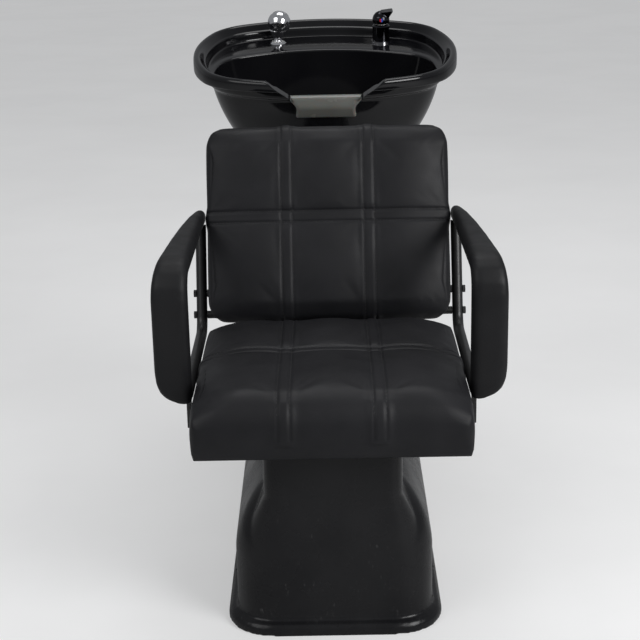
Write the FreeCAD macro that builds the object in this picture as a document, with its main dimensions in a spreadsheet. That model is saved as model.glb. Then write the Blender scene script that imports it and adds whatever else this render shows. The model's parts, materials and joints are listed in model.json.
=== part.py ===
"""Salon backwash unit: a fixed chair on a moulded base, with a tilting shampoo bowl behind it.

Frame: millimetres, +Z up, the sitter faces -Y, origin on the floor at the centre of the floor bolts.
"""
import FreeCAD, Part
import Sketcher
import math
import os
import re

from FreeCAD import Placement, Rotation, Vector

doc = FreeCAD.newDocument("backwash_unit")

# Driving dimensions: alias and value, in millimetres unless the name says degrees
SIZES = (
    # moulded base
    ("flange_width", 405), ("flange_length", 1000), ("flange_corner", 90),
    ("flange_lip", 14), ("flange_bead", 8), ("bead_inset", 6), ("body_inset", 18),
    ("body_corner", 72), ("shell_wall", 5), ("straight_height", 140), ("flare_height", 268),
    ("pedestal_height", 372), ("column_width", 254), ("column_corner", 28), ("column_depth", 300),
    ("dome_rise", 178), ("dome_setback", 190),
    ("post_stand", 28), ("rear_base_width", 290), ("rear_top_width", 230),
    ("rear_base_depth", 290), ("rear_top_depth", 170), ("rear_step", 6), ("rear_corner", 40),
    ("access_width", 180), ("access_height", 260), ("access_bottom", 120), ("cover_lap", 14),
    ("cover_thickness", 3), ("cover_corner", 12), ("hose_port_diameter", 50),
    ("floor_hole_diameter", 8), ("floor_hole_spacing", 540),
    # steel inside the base
    ("leg_size", 30), ("leg_foot", 50), ("foot_thickness", 6), ("post_width", 80),
    ("post_depth", 60), ("post_wall", 4), ("post_foot_width", 160), ("bracket_rise", 39.7),
    # seat
    ("seat_width", 504), ("seat_depth", 480), ("seat_thickness", 104),
    ("seat_lip", 22), ("seat_roll", 44), ("seat_fall", 4), ("seat_board_thickness", 18),
    ("seat_board_inset", 22), ("seat_board_setback", 50),
    ("seat_plate_width", 240), ("seat_plate_thickness", 6), ("seat_plate_margin", 12),
    ("angle_leg", 36), ("angle_thickness", 4), ("angle_length", 240), ("angle_drop", 26),
    ("seam_pitch", 167), ("seam_strip", 22), ("seam_depth", 4), ("panel_crown", 9),
    ("side_bulge", 5),
    # back
    ("back_trim", 1), ("back_length", 406), ("back_foam", 70), ("back_board_thickness", 18),
    ("back_board_inset", 14), ("back_recline_degrees", 20), ("back_gap", 2), ("back_drop", 18),
    ("back_roll", 40),
    # arms
    ("arm_tube_diameter", 22), ("arm_tube_wall", 2), ("arm_tube_gap", 1), ("arm_tube_bend", 40),
    ("arm_run_height", 440), ("arm_height", 693), ("arm_rear_drop", 8), ("arm_width", 67),
    ("arm_thickness", 40), ("arm_corner", 46), ("arm_edge", 13), ("arm_front_setback", 158),
    ("arm_foot_height", 428), ("strap_width", 40), ("strap_thickness", 6), ("strap_reach", 80),
    ("back_bolt_low", 22), ("back_bolt_spacing", 44), ("back_bolt_grip", 30), ("arm_tube_rise", 208),
    # bowl
    ("bowl_width", 588), ("bowl_depth", 520), ("bowl_height", 955), ("bowl_inset", 73),
    ("bowl_clearance", 247),
    ("bowl_tilt_degrees", 8.2), ("bowl_wall", 6), ("rim_skirt", 55), ("rim_front_skirt", 22),
    ("rim_land", 22),
    ("terrace_drop", 15), ("terrace_step", 8), ("deck_drop", 36), ("deck_thickness", 8),
    ("deck_width", 112), ("basin_ledge", 18), ("basin_front_ledge", 8), ("notch_through", 80),
    ("basin_drop", 245), ("basin_floor_width", 240), ("basin_floor_depth", 200),
    ("notch_width", 236), ("notch_floor_width", 124), ("notch_depth", 62), ("notch_corner", 16),
    ("neck_rest_rise", 25), ("neck_rest_drop", 26), ("neck_rest_thickness", 11),
    ("neck_rest_flare", 4), ("boss_diameter", 18), ("boss_height", 12),
    # drain
    ("drain_hole_diameter", 50), ("drain_flange_diameter", 70), ("drain_flange_thickness", 3),
    ("drain_tube_diameter", 48), ("drain_bore_diameter", 42), ("drain_thread_length", 30),
    ("drain_nut_diameter", 66), ("drain_nut_height", 12), ("drain_gasket_thickness", 3),
    ("drain_tail_diameter", 40), ("drain_tail_length", 50), ("drain_tail_wall", 5),
    ("drain_drop", 8), ("drain_bend", 26), ("strainer_diameter", 56),
    ("strainer_thickness", 2), ("strainer_hole_diameter", 5), ("strainer_knob_diameter", 10),
    ("strainer_knob_height", 9), ("strainer_gap", 0.4),
    # bowl hinge
    ("yoke_width", 150), ("yoke_depth", 64), ("yoke_thickness", 5), ("yoke_offset", 66),
    ("lug_thickness", 6), ("lug_width", 34), ("hinge_drop", 30), ("hinge_pin_diameter", 12),
    ("hinge_lug_spacing", 104), ("bush_wall", 1.5), ("bush_clearance", 0.05),
    ("lug_gap", 1), ("pin_overhang", 14),
    ("knob_diameter", 44), ("knob_thickness", 18), ("knob_grip_count", 6),
    # mixer tap
    ("mixer_x", 132), ("mixer_diameter", 40), ("mixer_height", 40), ("mixer_ring_diameter", 46),
    ("mixer_ring_height", 4), ("mixer_shank_diameter", 30), ("mixer_shank_length", 34),
    ("mixer_nut_width", 46), ("mixer_nut_height", 9), ("mixer_bevel", 6), ("cartridge_diameter", 30),
    ("cartridge_depth", 22), ("stem_play", 2.5), ("lever_tip", 3), ("mark_thickness", 0.6),
    ("cap_recess", 5),
    ("stem_diameter", 10), ("stem_height", 7), ("cap_gap", 1.5), ("cap_height", 27),
    ("lever_reach", 28), ("lever_width", 26), ("inlet_diameter", 10), ("inlet_length", 60),
    ("inlet_spacing", 20), ("indicator_diameter", 7),
    # hand spray
    ("spray_x", 110), ("spray_ring_diameter", 38), ("spray_ring_height", 6), ("guide_diameter", 26),
    ("guide_bore_diameter", 19), ("guide_length", 44), ("guide_nut_width", 40), ("guide_nut_height", 9),
    ("spray_stub_diameter", 18), ("spray_stub_length", 40), ("spray_neck_diameter", 17),
    ("spray_neck_height", 18), ("spray_bulb_diameter", 54), ("spray_lean_degrees", 14),
    ("spray_face_degrees", 55),
    ("spray_face_diameter", 40), ("spray_face_thickness", 4), ("spray_nozzle_diameter", 2.5),
    # general
    ("bolt_diameter", 8), ("bolt_head_width", 13), ("bolt_head_height", 5.5),
    ("small_bolt_diameter", 6), ("small_head_width", 10), ("small_head_height", 4),
    ("hole_clearance", 0.4), ("part_gap", 0.5), ("overrun", 20),
)

sheet = doc.addObject("Spreadsheet::Sheet", "sizes")
for row, (alias, number) in enumerate(SIZES, start=1):
    sheet.set(f"A{row}", alias)
    sheet.set(f"B{row}", str(number))
    sheet.setAlias(f"B{row}", alias)
doc.recompute()
ALIASES = {alias for alias, number in SIZES}


class Sizes:
    """The sheet's values, read by alias."""

    def __getattr__(self, alias):
        return float(sheet.get(alias))


s = Sizes()
SUBPARTS = []


def expression(text):
    """Write each alias in a formula as a reference to the sheet."""
    return re.sub(r"[a-z_]+[a-z]", lambda m: f"sizes.{m[0]}" if m[0] in ALIASES else m[0], text)


def number(text):
    """The value of a formula in aliases."""
    return float(doc.getObject("sizes").evalExpression(expression(text)))


def bind(thing, **formulas):
    for name, text in formulas.items():
        thing.setExpression(name, expression(text))
    return thing


def subpart(thing, label, place=None):
    """Name a finished piece, put it in its place and list it for export."""
    thing.Label = label
    if place is not None:
        thing.Placement = place
    SUBPARTS.append(thing)
    return thing


def at(x, y, z, rotation=None):
    return Placement(Vector(x, y, z), rotation or Rotation())


def turned(axis, degrees):
    return Rotation(axis, degrees)


X_AXIS = Vector(1, 0, 0)
Y_AXIS = Vector(0, 1, 0)
Z_AXIS = Vector(0, 0, 1)
ALONG_X = turned(Y_AXIS, 90)
SIDES = (("left", -1), ("right", 1))
FULL_TURN = 360
HEX_SIDES = 6
SMALL_BORE = "(small_bolt_diameter + hole_clearance) / 2"
BOLT_BORE = "(bolt_diameter + hole_clearance) / 2"
small_bore_radius = (s.small_bolt_diameter + s.hole_clearance) / 2
bolt_bore_radius = (s.bolt_diameter + s.hole_clearance) / 2


def cylinder(radius, height, place=Placement()):
    made = bind(doc.addObject("Part::Cylinder", "round"), Radius=radius, Height=height)
    made.Placement = place
    return made


def block(length, width, height, place=Placement()):
    """A box centred on its place in X and Y and standing on it."""
    made = bind(doc.addObject("Part::Box", "block"), Length=length, Width=width, Height=height)
    shift = Vector(-number(length) / 2, -number(width) / 2, 0)
    made.Placement = place.multiply(Placement(shift, Rotation()))
    return made


def hexagon(across_flats, height, place=Placement()):
    made = bind(doc.addObject("Part::Prism", "hexagon"), Height=height)
    made.Polygon = HEX_SIDES
    bind(made, Circumradius=f"({across_flats}) / 2 / cos(30)")
    made.Placement = place
    return made


def fused(*things):
    made = doc.addObject("Part::MultiFuse", "fused")
    made.Shapes = list(things)
    return made


def cut(base, *tools):
    made = doc.addObject("Part::Cut", "cut")
    made.Base = base
    made.Tool = tools[0] if len(tools) == 1 else fused(*tools)
    return made


def group(things):
    made = doc.addObject("Part::Compound", "group")
    made.Links = list(things)
    return made


def solid(shape):
    """A document object for a shape that is worked out from the sheet in code."""
    made = doc.addObject("Part::Feature", "form")
    made.Shape = shape
    return made


def bolt(diameter, length, head_width, head_height, place):
    """A hexagon bolt: its seat is at the place, its head on local +Z and its shank on local -Z."""
    head = hexagon(head_width, head_height, place)
    shank = cylinder(f"({diameter}) / 2", length, place.multiply(at(0, 0, -number(length))))
    return fused(head, shank)


def ring(outer, inner, height, place=Placement()):
    over = place.multiply(at(0, 0, -s.overrun))
    hole = cylinder(f"({inner}) / 2", f"({height}) + 2 * overrun", over)
    return cut(cylinder(f"({outer}) / 2", height, place), hole)


def origin_plane(body, role):
    return next(item for item in body.Origin.OriginFeatures if item.Role == role)


def profile_body(name, role, points):
    """A body with one sketch: a closed outline whose corners are bound to formulas in aliases."""
    body = doc.addObject("PartDesign::Body", name)
    sketch = body.newObject("Sketcher::SketchObject", f"{name}_outline")
    sketch.AttachmentSupport = [(origin_plane(body, role), "")]
    sketch.MapMode = "FlatFace"
    corners = [Vector(number(across), number(up), 0) for across, up in points]
    for start, end in zip(corners, corners[1:] + corners[:1]):
        sketch.addGeometry(Part.LineSegment(start, end), False)
    for index in range(len(corners)):
        sketch.addConstraint(Sketcher.Constraint("Coincident", index, 2, (index + 1) % len(corners), 1))
    for index, formulas in enumerate(points):
        for kind, axis, text in zip(("DistanceX", "DistanceY"), (-2, -1), formulas):
            if text == "0":
                sketch.addConstraint(Sketcher.Constraint("PointOnObject", index, 1, axis))
                continue
            made = sketch.addConstraint(Sketcher.Constraint(kind, -1, 1, index, 1, number(text)))
            sketch.setExpression(f"Constraints[{made}]", expression(text))
    return body, sketch


def revolved(name, points):
    """A turned piece: points are radius and height formulas, turned about local Z."""
    body, sketch = profile_body(name, "XZ_Plane", points)
    turn = body.newObject("PartDesign::Revolution", f"{name}_turn")
    turn.Profile = sketch
    turn.ReferenceAxis = (sketch, ["V_Axis"])
    turn.Angle = FULL_TURN
    return body


def extruded(name, role, points, length):
    """A plate or bar: an outline padded to both sides of its plane."""
    body, sketch = profile_body(name, role, points)
    pad = body.newObject("PartDesign::Pad", f"{name}_pad")
    pad.Profile = sketch
    pad.Midplane = True
    bind(pad, Length=length)
    return body


def line(start, end):
    return Part.LineSegment(start, end).toShape()


def arc(start, middle, end):
    return Part.Arc(start, middle, end).toShape()


def loft(wires):
    return Part.makeLoft(wires, True, True)


def corner_arc(centre, radius, start_degrees, end_degrees):
    """A round corner in a level plane about a centre."""
    def point(degrees):
        angle = math.radians(degrees)
        return centre + Vector(radius * math.cos(angle), radius * math.sin(angle), 0)
    return arc(point(start_degrees), point((start_degrees + end_degrees) / 2), point(end_degrees))


def rounded_rectangle(half_width, front, rear, corner, height):
    """A level rectangle with round corners, symmetric about X = 0, as a closed wire."""
    right = half_width - corner
    centres = (
        (Vector(right, front + corner, height), 270), (Vector(right, rear - corner, height), 0),
        (Vector(-right, rear - corner, height), 90), (Vector(-right, front + corner, height), 180),
    )
    edges = []
    for centre, start in centres:
        edges.append(corner_arc(centre, corner, start, start + 90))
    joined = []
    for edge, following in zip(edges, edges[1:] + edges[:1]):
        joined.append(edge)
        joined.append(line(edge.Vertexes[-1].Point, following.Vertexes[0].Point))
    return Part.Wire(joined)


def slab(half_width, front, rear, corner, bottom, top):
    """A rounded rectangle raised from one height to another."""
    face = Part.Face(rounded_rectangle(half_width, front, rear, corner, bottom))
    return face.extrude(Vector(0, 0, top - bottom))


# The bowl's tilted frame and its hinge, which the post in the base stands under
rear_face = s.flange_length / 2 - s.body_inset + s.rear_step
bowl_y = rear_face - s.bowl_inset
bowl_frame = Placement(Vector(0, bowl_y, s.bowl_height), turned(X_AXIS, s.bowl_tilt_degrees))
hinge_depth = s.basin_drop + s.boss_height + s.yoke_thickness + s.hinge_drop
hinge_axis = bowl_frame.multVec(Vector(0, -s.yoke_offset, -hinge_depth))
post_y = hinge_axis.y
post_top = hinge_axis.z - s.bracket_rise
post_height = ("(bowl_height - yoke_offset * sin(bowl_tilt_degrees) - bracket_rise"
               " - (basin_drop + boss_height + yoke_thickness + hinge_drop) * cos(bowl_tilt_degrees))")
rear_top = post_top - s.post_stand

# Moulded base
flange_top = s.flange_lip + s.flange_bead
body_half_width = s.flange_width / 2 - s.body_inset
body_half_length = s.flange_length / 2 - s.body_inset
dome_level_shares = (0, 0.25, 0.45, 0.62, 0.76, 0.87)
dome_top_share = 0.95
dome_power = 2


def dome_share(level):
    """How wide the domed body still is at a height, as a share of its straight part."""
    rise = max(0, level - s.straight_height) / s.dome_rise
    return max(0, 1 - rise ** dome_power) ** (1 / dome_power)


def dome(inset, bottom):
    """The domed body of the base, drawn in all round by an inset."""
    top = min(s.pedestal_height, s.straight_height + dome_top_share * s.dome_rise)
    levels = [s.straight_height + share * s.dome_rise for share in dome_level_shares]
    levels = [level for level in levels if level < top] + [top]
    wires = []
    for level in [bottom] + [level - inset for level in levels]:
        full = dome_share(level + inset)
        width = body_half_width * full - inset
        setback = s.dome_setback * (1 - full) + inset
        corner = min(s.body_corner, width) * full - inset
        wires.append(rounded_rectangle(width, setback - body_half_length, body_half_length - setback,
                                       corner, level))
    return loft(wires)


def column(inset, bottom):
    """The flat-fronted column under the seat, which flares into the body below it."""
    front = inset - body_half_length
    rear = front + s.column_depth - 2 * inset
    full = body_half_width - inset
    slim = s.column_width / 2 - inset
    wires = []
    for level, width, corner in (
            (bottom, full, s.body_corner - inset), (s.straight_height, full, s.body_corner - inset),
            (s.flare_height, slim, s.column_corner - inset),
            (s.pedestal_height - inset, slim, s.column_corner - inset)):
        wires.append(rounded_rectangle(width, front, rear, corner, level))
    return loft(wires)


def rear_pedestal(inset, bottom):
    """The rear column that carries the bowl; its rear face is upright."""
    wires = []
    for level, width, depth in ((bottom, s.rear_base_width, s.rear_base_depth),
                                (s.straight_height, s.rear_base_width, s.rear_base_depth),
                                (rear_top - inset, s.rear_top_width, s.rear_top_depth)):
        wires.append(rounded_rectangle(width / 2 - inset, rear_face - depth + inset, rear_face - inset,
                                       s.rear_corner - inset, level))
    return loft(wires)


floor_hole_x = s.flange_width / 2 - s.body_inset / 2
floor_hole_places = [(side * floor_hole_x, end * s.floor_hole_spacing / 2)
                     for side in (-1, 1) for end in (-1, 1)]
access_middle = s.access_bottom + s.access_height / 2
hose_port_y = (post_y + s.post_depth / 2 + rear_face - s.shell_wall) / 2


def access_panel(width, height, bottom, depth_front, depth_rear, corner):
    """An upright round-cornered panel in the rear wall."""
    panel = slab(width / 2, -height / 2, height / 2, corner, 0, depth_rear - depth_front)
    panel.Placement = Placement(Vector(0, depth_rear, bottom + height / 2), turned(X_AXIS, 90))
    return panel


def base_shape():
    half_width = s.flange_width / 2
    half_length = s.flange_length / 2
    lip = slab(half_width, -half_length, half_length, s.flange_corner, 0, s.flange_lip)
    bead = slab(half_width - s.bead_inset, s.bead_inset - half_length, half_length - s.bead_inset,
                s.flange_corner - s.bead_inset, s.flange_lip, flange_top)
    outer = lip.fuse([bead, dome(0, s.flange_lip), column(0, s.flange_lip), rear_pedestal(0, s.flange_lip)])
    wall = s.shell_wall
    inner = dome(wall, -s.overrun).fuse([column(wall, -s.overrun), rear_pedestal(wall, -s.overrun)])
    shape = outer.cut(inner)
    through = flange_top + 2 * s.overrun
    holes = [Part.makeCylinder(s.floor_hole_diameter / 2, through, Vector(x, y, -s.overrun))
             for x, y in floor_hole_places]
    holes.append(access_panel(s.access_width, s.access_height, s.access_bottom,
                              rear_face - s.rear_base_depth / 2, rear_face + s.overrun, s.cover_corner))
    post_room = s.part_gap
    holes.append(slab(s.post_width / 2 + post_room, post_y - s.post_depth / 2 - post_room,
                      post_y + s.post_depth / 2 + post_room, post_room,
                      rear_top - 2 * s.overrun, rear_top + s.overrun))
    holes.append(Part.makeCylinder(s.hose_port_diameter / 2, 3 * s.overrun,
                                   Vector(0, hose_port_y, rear_top - 2 * s.overrun)))
    for x, y in seat_bolt_places:
        holes.append(Part.makeCylinder(bolt_bore_radius, 3 * s.overrun,
                                       Vector(x, y, s.pedestal_height - 2 * s.overrun)))
    for x, z in cover_screw_places:
        holes.append(Part.makeCylinder(small_bore_radius, 3 * s.overrun,
                                       Vector(x, rear_face - 2 * s.overrun, z), Y_AXIS))
    for side in (-1, 1):
        for y in angle_bolt_rows:
            holes.append(Part.makeCylinder(small_bore_radius, 3 * s.overrun,
                                           Vector(side * s.column_width / 2 - 1.5 * s.overrun, y,
                                                  angle_bolt_z), X_AXIS))
    return shape.cut(holes)


column_front = -body_half_length
seat_plate_length = s.column_depth - 2 * s.seat_plate_margin
seat_plate_y = column_front + s.column_depth / 2
leg_x = s.column_width / 2 - s.shell_wall - s.column_corner / 2 - s.leg_size / 2
leg_row_reach = seat_plate_length / 2 - s.leg_size
leg_rows = (seat_plate_y - leg_row_reach, seat_plate_y + leg_row_reach)
seat_bolt_places = [(side * leg_x, y) for side in (-1, 1) for y in leg_rows]
cover_width = s.access_width + 2 * s.cover_lap
cover_height = s.access_height + 2 * s.cover_lap
cover_screw_places = [(side * (s.access_width + s.cover_lap) / 2, access_middle + end * s.access_height / 3)
                      for side in (-1, 1) for end in (-1, 1)]
angle_bolt_rows = (seat_plate_y - s.angle_length / 3, seat_plate_y + s.angle_length / 3)
angle_bolt_z = s.pedestal_height - s.angle_drop * 2 / 3

subpart(solid(base_shape()), "base_shell")


def cover_shape():
    panel = access_panel(cover_width, cover_height, s.access_bottom - s.cover_lap,
                         rear_face, rear_face + s.cover_thickness, s.cover_corner + s.cover_lap)
    holes = [Part.makeCylinder(small_bore_radius, 2 * s.overrun,
                               Vector(x, rear_face - s.overrun, z), Y_AXIS) for x, z in cover_screw_places]
    return panel.cut(holes)


subpart(solid(cover_shape()), "rear_access_cover")
cover_screws = []
for x, z in cover_screw_places:
    place = at(x, rear_face + s.cover_thickness, z, turned(X_AXIS, -90))
    cover_screws.append(bolt("small_bolt_diameter", "cover_thickness + shell_wall + small_head_height",
                             "small_head_width", "small_head_height", place))
subpart(group(cover_screws), "cover_screws")

# Steel inside the base
leg_height = "pedestal_height - shell_wall - foot_thickness - part_gap"
frame_parts = []
for x, y in seat_bolt_places:
    frame_parts.append(block("leg_foot", "leg_foot", "foot_thickness", at(x, y, 0)))
    frame_parts.append(block("leg_size", "leg_size", leg_height, at(x, y, s.foot_thickness)))
top_rail_z = s.pedestal_height - s.shell_wall - s.part_gap - s.leg_size
for side in (-1, 1):
    rail_length = "column_depth - 2 * seat_plate_margin - 2 * leg_size"
    frame_parts.append(block("leg_size", rail_length, "leg_size", at(side * leg_x, seat_plate_y, top_rail_z)))
for y in leg_rows:
    cross_length = "column_width - 2 * shell_wall - column_corner - leg_size"
    frame_parts.append(block(cross_length, "leg_size", "leg_size", at(0, y, top_rail_z)))
bolt_bores = [cylinder(BOLT_BORE, "2 * leg_size",
                       at(x, y, s.pedestal_height - s.shell_wall - 2 * s.leg_size))
              for x, y in seat_bolt_places]
subpart(cut(fused(*frame_parts), *bolt_bores), "seat_frame")

post_place = at(0, post_y, s.foot_thickness)
post = cut(block("post_width", "post_depth", f"{post_height} - foot_thickness", post_place),
           block("post_width - 2 * post_wall", "post_depth - 2 * post_wall",
                 f"{post_height} - foot_thickness - post_wall", post_place))
foot = block("post_foot_width", "post_foot_width", "foot_thickness", at(0, post_y, 0))
bracket_bolt_places = [(side * s.post_width / 4, post_y) for side in (-1, 1)]
post_bores = [cylinder(BOLT_BORE, "2 * overrun", at(x, y, post_top - s.overrun))
              for x, y in bracket_bolt_places]
subpart(cut(fused(post, foot), *post_bores), "bowl_post")

# Seat: plate and angles on the column, board, cushion
seat_rear = bowl_y - s.bowl_depth / 2 - s.bowl_clearance
seat_front = seat_rear - s.seat_depth
board_bottom = s.pedestal_height + s.seat_plate_thickness
board_top = board_bottom + s.seat_board_thickness
board_half_width = s.seat_width / 2 - s.seat_board_inset
board_front = seat_front + s.seat_board_setback
board_rear = seat_rear - s.seat_board_inset
board_middle = (board_front + board_rear) / 2
angle_x = s.column_width / 2 + s.part_gap
chair_half_width = s.seat_width / 2
back_half_width = chair_half_width - s.back_trim
tube_x = chair_half_width + s.arm_tube_gap + s.arm_tube_diameter / 2
strap_screw_x = tube_x - s.strap_reach + s.strap_width / 2
strap_rows = (board_front + s.seat_depth / 3, board_rear - s.strap_width)
strap_screw_places = [(side * strap_screw_x, y) for side in (-1, 1) for y in strap_rows]
angle_screw_x = angle_x + s.angle_leg * 2 / 3
angle_screw_places = [(side * angle_screw_x, y) for side in (-1, 1) for y in angle_bolt_rows]

plate_bores = [cylinder(BOLT_BORE, "2 * overrun", at(x, y, s.pedestal_height - s.overrun))
               for x, y in seat_bolt_places]
subpart(cut(block("seat_plate_width", "column_depth - 2 * seat_plate_margin", "seat_plate_thickness",
                  at(0, seat_plate_y, s.pedestal_height)), *plate_bores), "seat_plate")
plate_bolts = [bolt("bolt_diameter", "seat_plate_thickness + shell_wall + part_gap + leg_size",
                    "bolt_head_width", "bolt_head_height", at(x, y, board_bottom))
               for x, y in seat_bolt_places]
subpart(group(plate_bolts), "seat_plate_bolts")

for label, side in SIDES:
    foot = block("angle_leg", "angle_length", "angle_thickness",
                 at(side * (angle_x + s.angle_leg / 2), seat_plate_y, board_bottom - s.angle_thickness))
    wall = block("angle_thickness", "angle_length", "angle_drop",
                 at(side * (angle_x + s.angle_thickness / 2), seat_plate_y, board_bottom - s.angle_drop))
    bores = [cylinder(SMALL_BORE, "2 * overrun", at(x, y, board_bottom - s.overrun))
             for x, y in angle_screw_places]
    bores += [cylinder(SMALL_BORE, "2 * overrun",
                       at(side * angle_x - s.overrun, y, angle_bolt_z, ALONG_X)) for y in angle_bolt_rows]
    subpart(cut(fused(foot, wall), *bores), f"seat_angle_{label}")
angle_bolts = []
for label, side in SIDES:
    for y in angle_bolt_rows:
        place = at(side * (angle_x + s.angle_thickness), y, angle_bolt_z, turned(Y_AXIS, side * 90))
        angle_bolts.append(bolt("small_bolt_diameter", "angle_thickness + shell_wall + small_head_height",
                                "small_head_width", "small_head_height", place))
subpart(group(angle_bolts), "seat_angle_bolts")

board_bores = [cylinder("bolt_head_width", "2 * overrun", at(x, y, board_bottom - s.overrun))
               for x, y in seat_bolt_places]
screw_depth = "seat_board_thickness * 2 / 3"
board_bores += [cylinder(SMALL_BORE, screw_depth, at(x, y, board_bottom))
                for x, y in strap_screw_places + angle_screw_places]
subpart(cut(block("seat_width - 2 * seat_board_inset", "seat_depth - seat_board_setback - seat_board_inset",
                  "seat_board_thickness", at(0, board_middle, board_bottom)), *board_bores), "seat_board")
HEAD_DOWN = turned(X_AXIS, 180)
screw_length = f"({screw_depth}) - part_gap"
board_screws = [bolt("small_bolt_diameter", f"strap_thickness + {screw_length}", "small_head_width",
                     "small_head_height", at(x, y, board_bottom - s.strap_thickness, HEAD_DOWN))
                for x, y in strap_screw_places]
board_screws += [bolt("small_bolt_diameter", f"angle_thickness + {screw_length}", "small_head_width",
                      "small_head_height", at(x, y, board_bottom - s.angle_thickness, HEAD_DOWN))
                 for x, y in angle_screw_places]
subpart(group(board_screws), "seat_board_screws")


def cushion_section(half_width, along, low, high, crown):
    """A slice across a cushion: a flat underside, drawn-in sides, three crowned panels, two sewn strips."""
    seam_in = s.seam_pitch / 2 - s.seam_strip / 2
    seam_out = s.seam_pitch / 2 + s.seam_strip / 2
    strip = high - s.seam_depth
    edge = low + (strip - low) * edge_share

    def spot(across, up):
        return Vector(across, along, up)

    side_middle = spot(half_width + s.side_bulge, (low + edge) / 2)
    outer_middle = spot((half_width + seam_out) / 2, (edge + strip) / 2 + (strip - edge) / 2 + crown / 2)
    right = [line(spot(-half_width, low), spot(half_width, low)),
             arc(spot(half_width, low), side_middle, spot(half_width, edge)),
             arc(spot(half_width, edge), outer_middle, spot(seam_out, strip)),
             line(spot(seam_out, strip), spot(seam_in, strip)),
             arc(spot(seam_in, strip), spot(0, strip + crown), spot(-seam_in, strip)),
             line(spot(-seam_in, strip), spot(-seam_out, strip))]
    mirror = [arc(spot(-seam_out, strip), spot(-outer_middle.x, outer_middle.z), spot(-half_width, edge)),
              arc(spot(-half_width, edge), spot(-side_middle.x, side_middle.z), spot(-half_width, low))]
    return Part.Wire(right + mirror)


edge_share = 0.8
seat_seam_share = 0.58
back_seam_share = 0.53
channel_crown_shares = ((-2, 0.8), (-1, 0.3), (1, 0.3), (2, 0.8))
# place along the roll, underside, top, crown and inset of the sides, as shares
seat_front_shares = ((0, 0.2, 0.52, 0.3, 0.25), (0.125, 0, 0.68, 0.4, 0.125))
seat_lip_shares = ((0.33, 0.84, 0.6), (1, 0.985, 0.9))
seat_flat_shares = (0.33, 0.8)
seat_rear_shares = ((0.33, 0, 0.98, 0.8, 0), (0, 0.17, 0.88, 0.5, 0.1))
back_end_shares = ((0, 0.55, 0.3, 0.5), (0.25, 0.82, 0.5, 0.17), (1, 1, 1, 0))


def cushion(width, stations):
    """A cushion lofted through slices: place along, underside, top, crown share and inset of the sides."""
    half_width = width / 2 - s.side_bulge
    wires = [cushion_section(half_width - inset, along, low, high, s.panel_crown * crown_share)
             for along, low, high, crown_share, inset in stations]
    return loft(wires)


def channel(middle, low, high):
    """The slices of a sewn cross strip and of the panels that dip to it."""
    half = s.seam_strip / 2
    stations = []
    for step, crown_share in channel_crown_shares:
        dip = s.seam_depth if abs(step) == 1 else 0
        stations.append((middle + step * half, low, high - dip, crown_share, 0))
    return stations


def seat_stations():
    deep = s.seat_depth
    high = s.seat_thickness
    roll = s.seat_roll
    rear_high = high - s.seat_fall
    front_flat, rear_flat = (deep * share for share in seat_flat_shares)
    front = [(roll * along, high * low, high * top, crown, roll * inset)
             for along, low, top, crown, inset in seat_front_shares]
    front += [(roll * along, -s.seat_lip, high * top, crown, 0) for along, top, crown in seat_lip_shares]
    front += [(s.seat_board_setback - s.part_gap, 0, high, 1, 0), (front_flat, 0, high, 1, 0)]
    seam = channel(deep * seat_seam_share, 0, high - s.seat_fall * seat_seam_share)
    rear = [(deep - roll * along, high * low, rear_high * top, crown, roll * inset)
            for along, low, top, crown, inset in seat_rear_shares]
    return front + seam + [(rear_flat, 0, rear_high, 1, 0)] + rear


subpart(solid(cushion(s.seat_width, seat_stations())), "seat_cushion", at(0, seat_front, board_top))

# Back: board and cushion, leaning on the arm tubes
back_origin = Vector(0, seat_rear + s.back_gap, board_top + s.seat_thickness - s.seat_fall - s.back_drop)
back_frame = Placement(back_origin, turned(X_AXIS, -s.back_recline_degrees))
FACING_FRONT = turned(X_AXIS, 90)


def back_stations():
    tall = s.back_length
    high = s.back_foam
    roll = s.back_roll
    seam = tall * back_seam_share
    low_end = [(roll * along, 0, high * top, crown, roll * inset)
               for along, top, crown, inset in back_end_shares]
    top_end = [(tall - along, low, top, crown, inset) for along, low, top, crown, inset in reversed(low_end)]
    below_seam = (seam / 2, 0, high, 1, 0)
    above_seam = ((seam + tall) / 2, 0, high, 1, 0)
    return low_end + [below_seam] + channel(seam, 0, high) + [above_seam] + top_end


back_cushion = cushion(2 * back_half_width, back_stations())
back_turn = back_frame.multiply(Placement(Vector(0, s.back_foam, 0), FACING_FRONT))
subpart(solid(back_cushion), "back_cushion", back_turn)
board_y = s.back_foam + s.back_board_thickness / 2
back_board_half = back_half_width - s.back_board_inset
back_bolt_rows = (s.back_bolt_low, s.back_bolt_low + s.back_bolt_spacing)
back_bolt_bores = []
for label, side in SIDES:
    for z in back_bolt_rows:
        start = back_frame.multiply(at(side * back_board_half, board_y, z, turned(Y_AXIS, -side * 90)))
        back_bolt_bores.append(cylinder(BOLT_BORE, "back_bolt_grip + part_gap", start))
back_panel_place = back_frame.multiply(at(0, board_y, s.back_board_inset))
back_panel = block("seat_width - 2 * back_trim - 2 * back_board_inset", "back_board_thickness",
                   "back_length - 2 * back_board_inset", back_panel_place)
subpart(cut(back_panel, *back_bolt_bores), "back_board")

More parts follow.
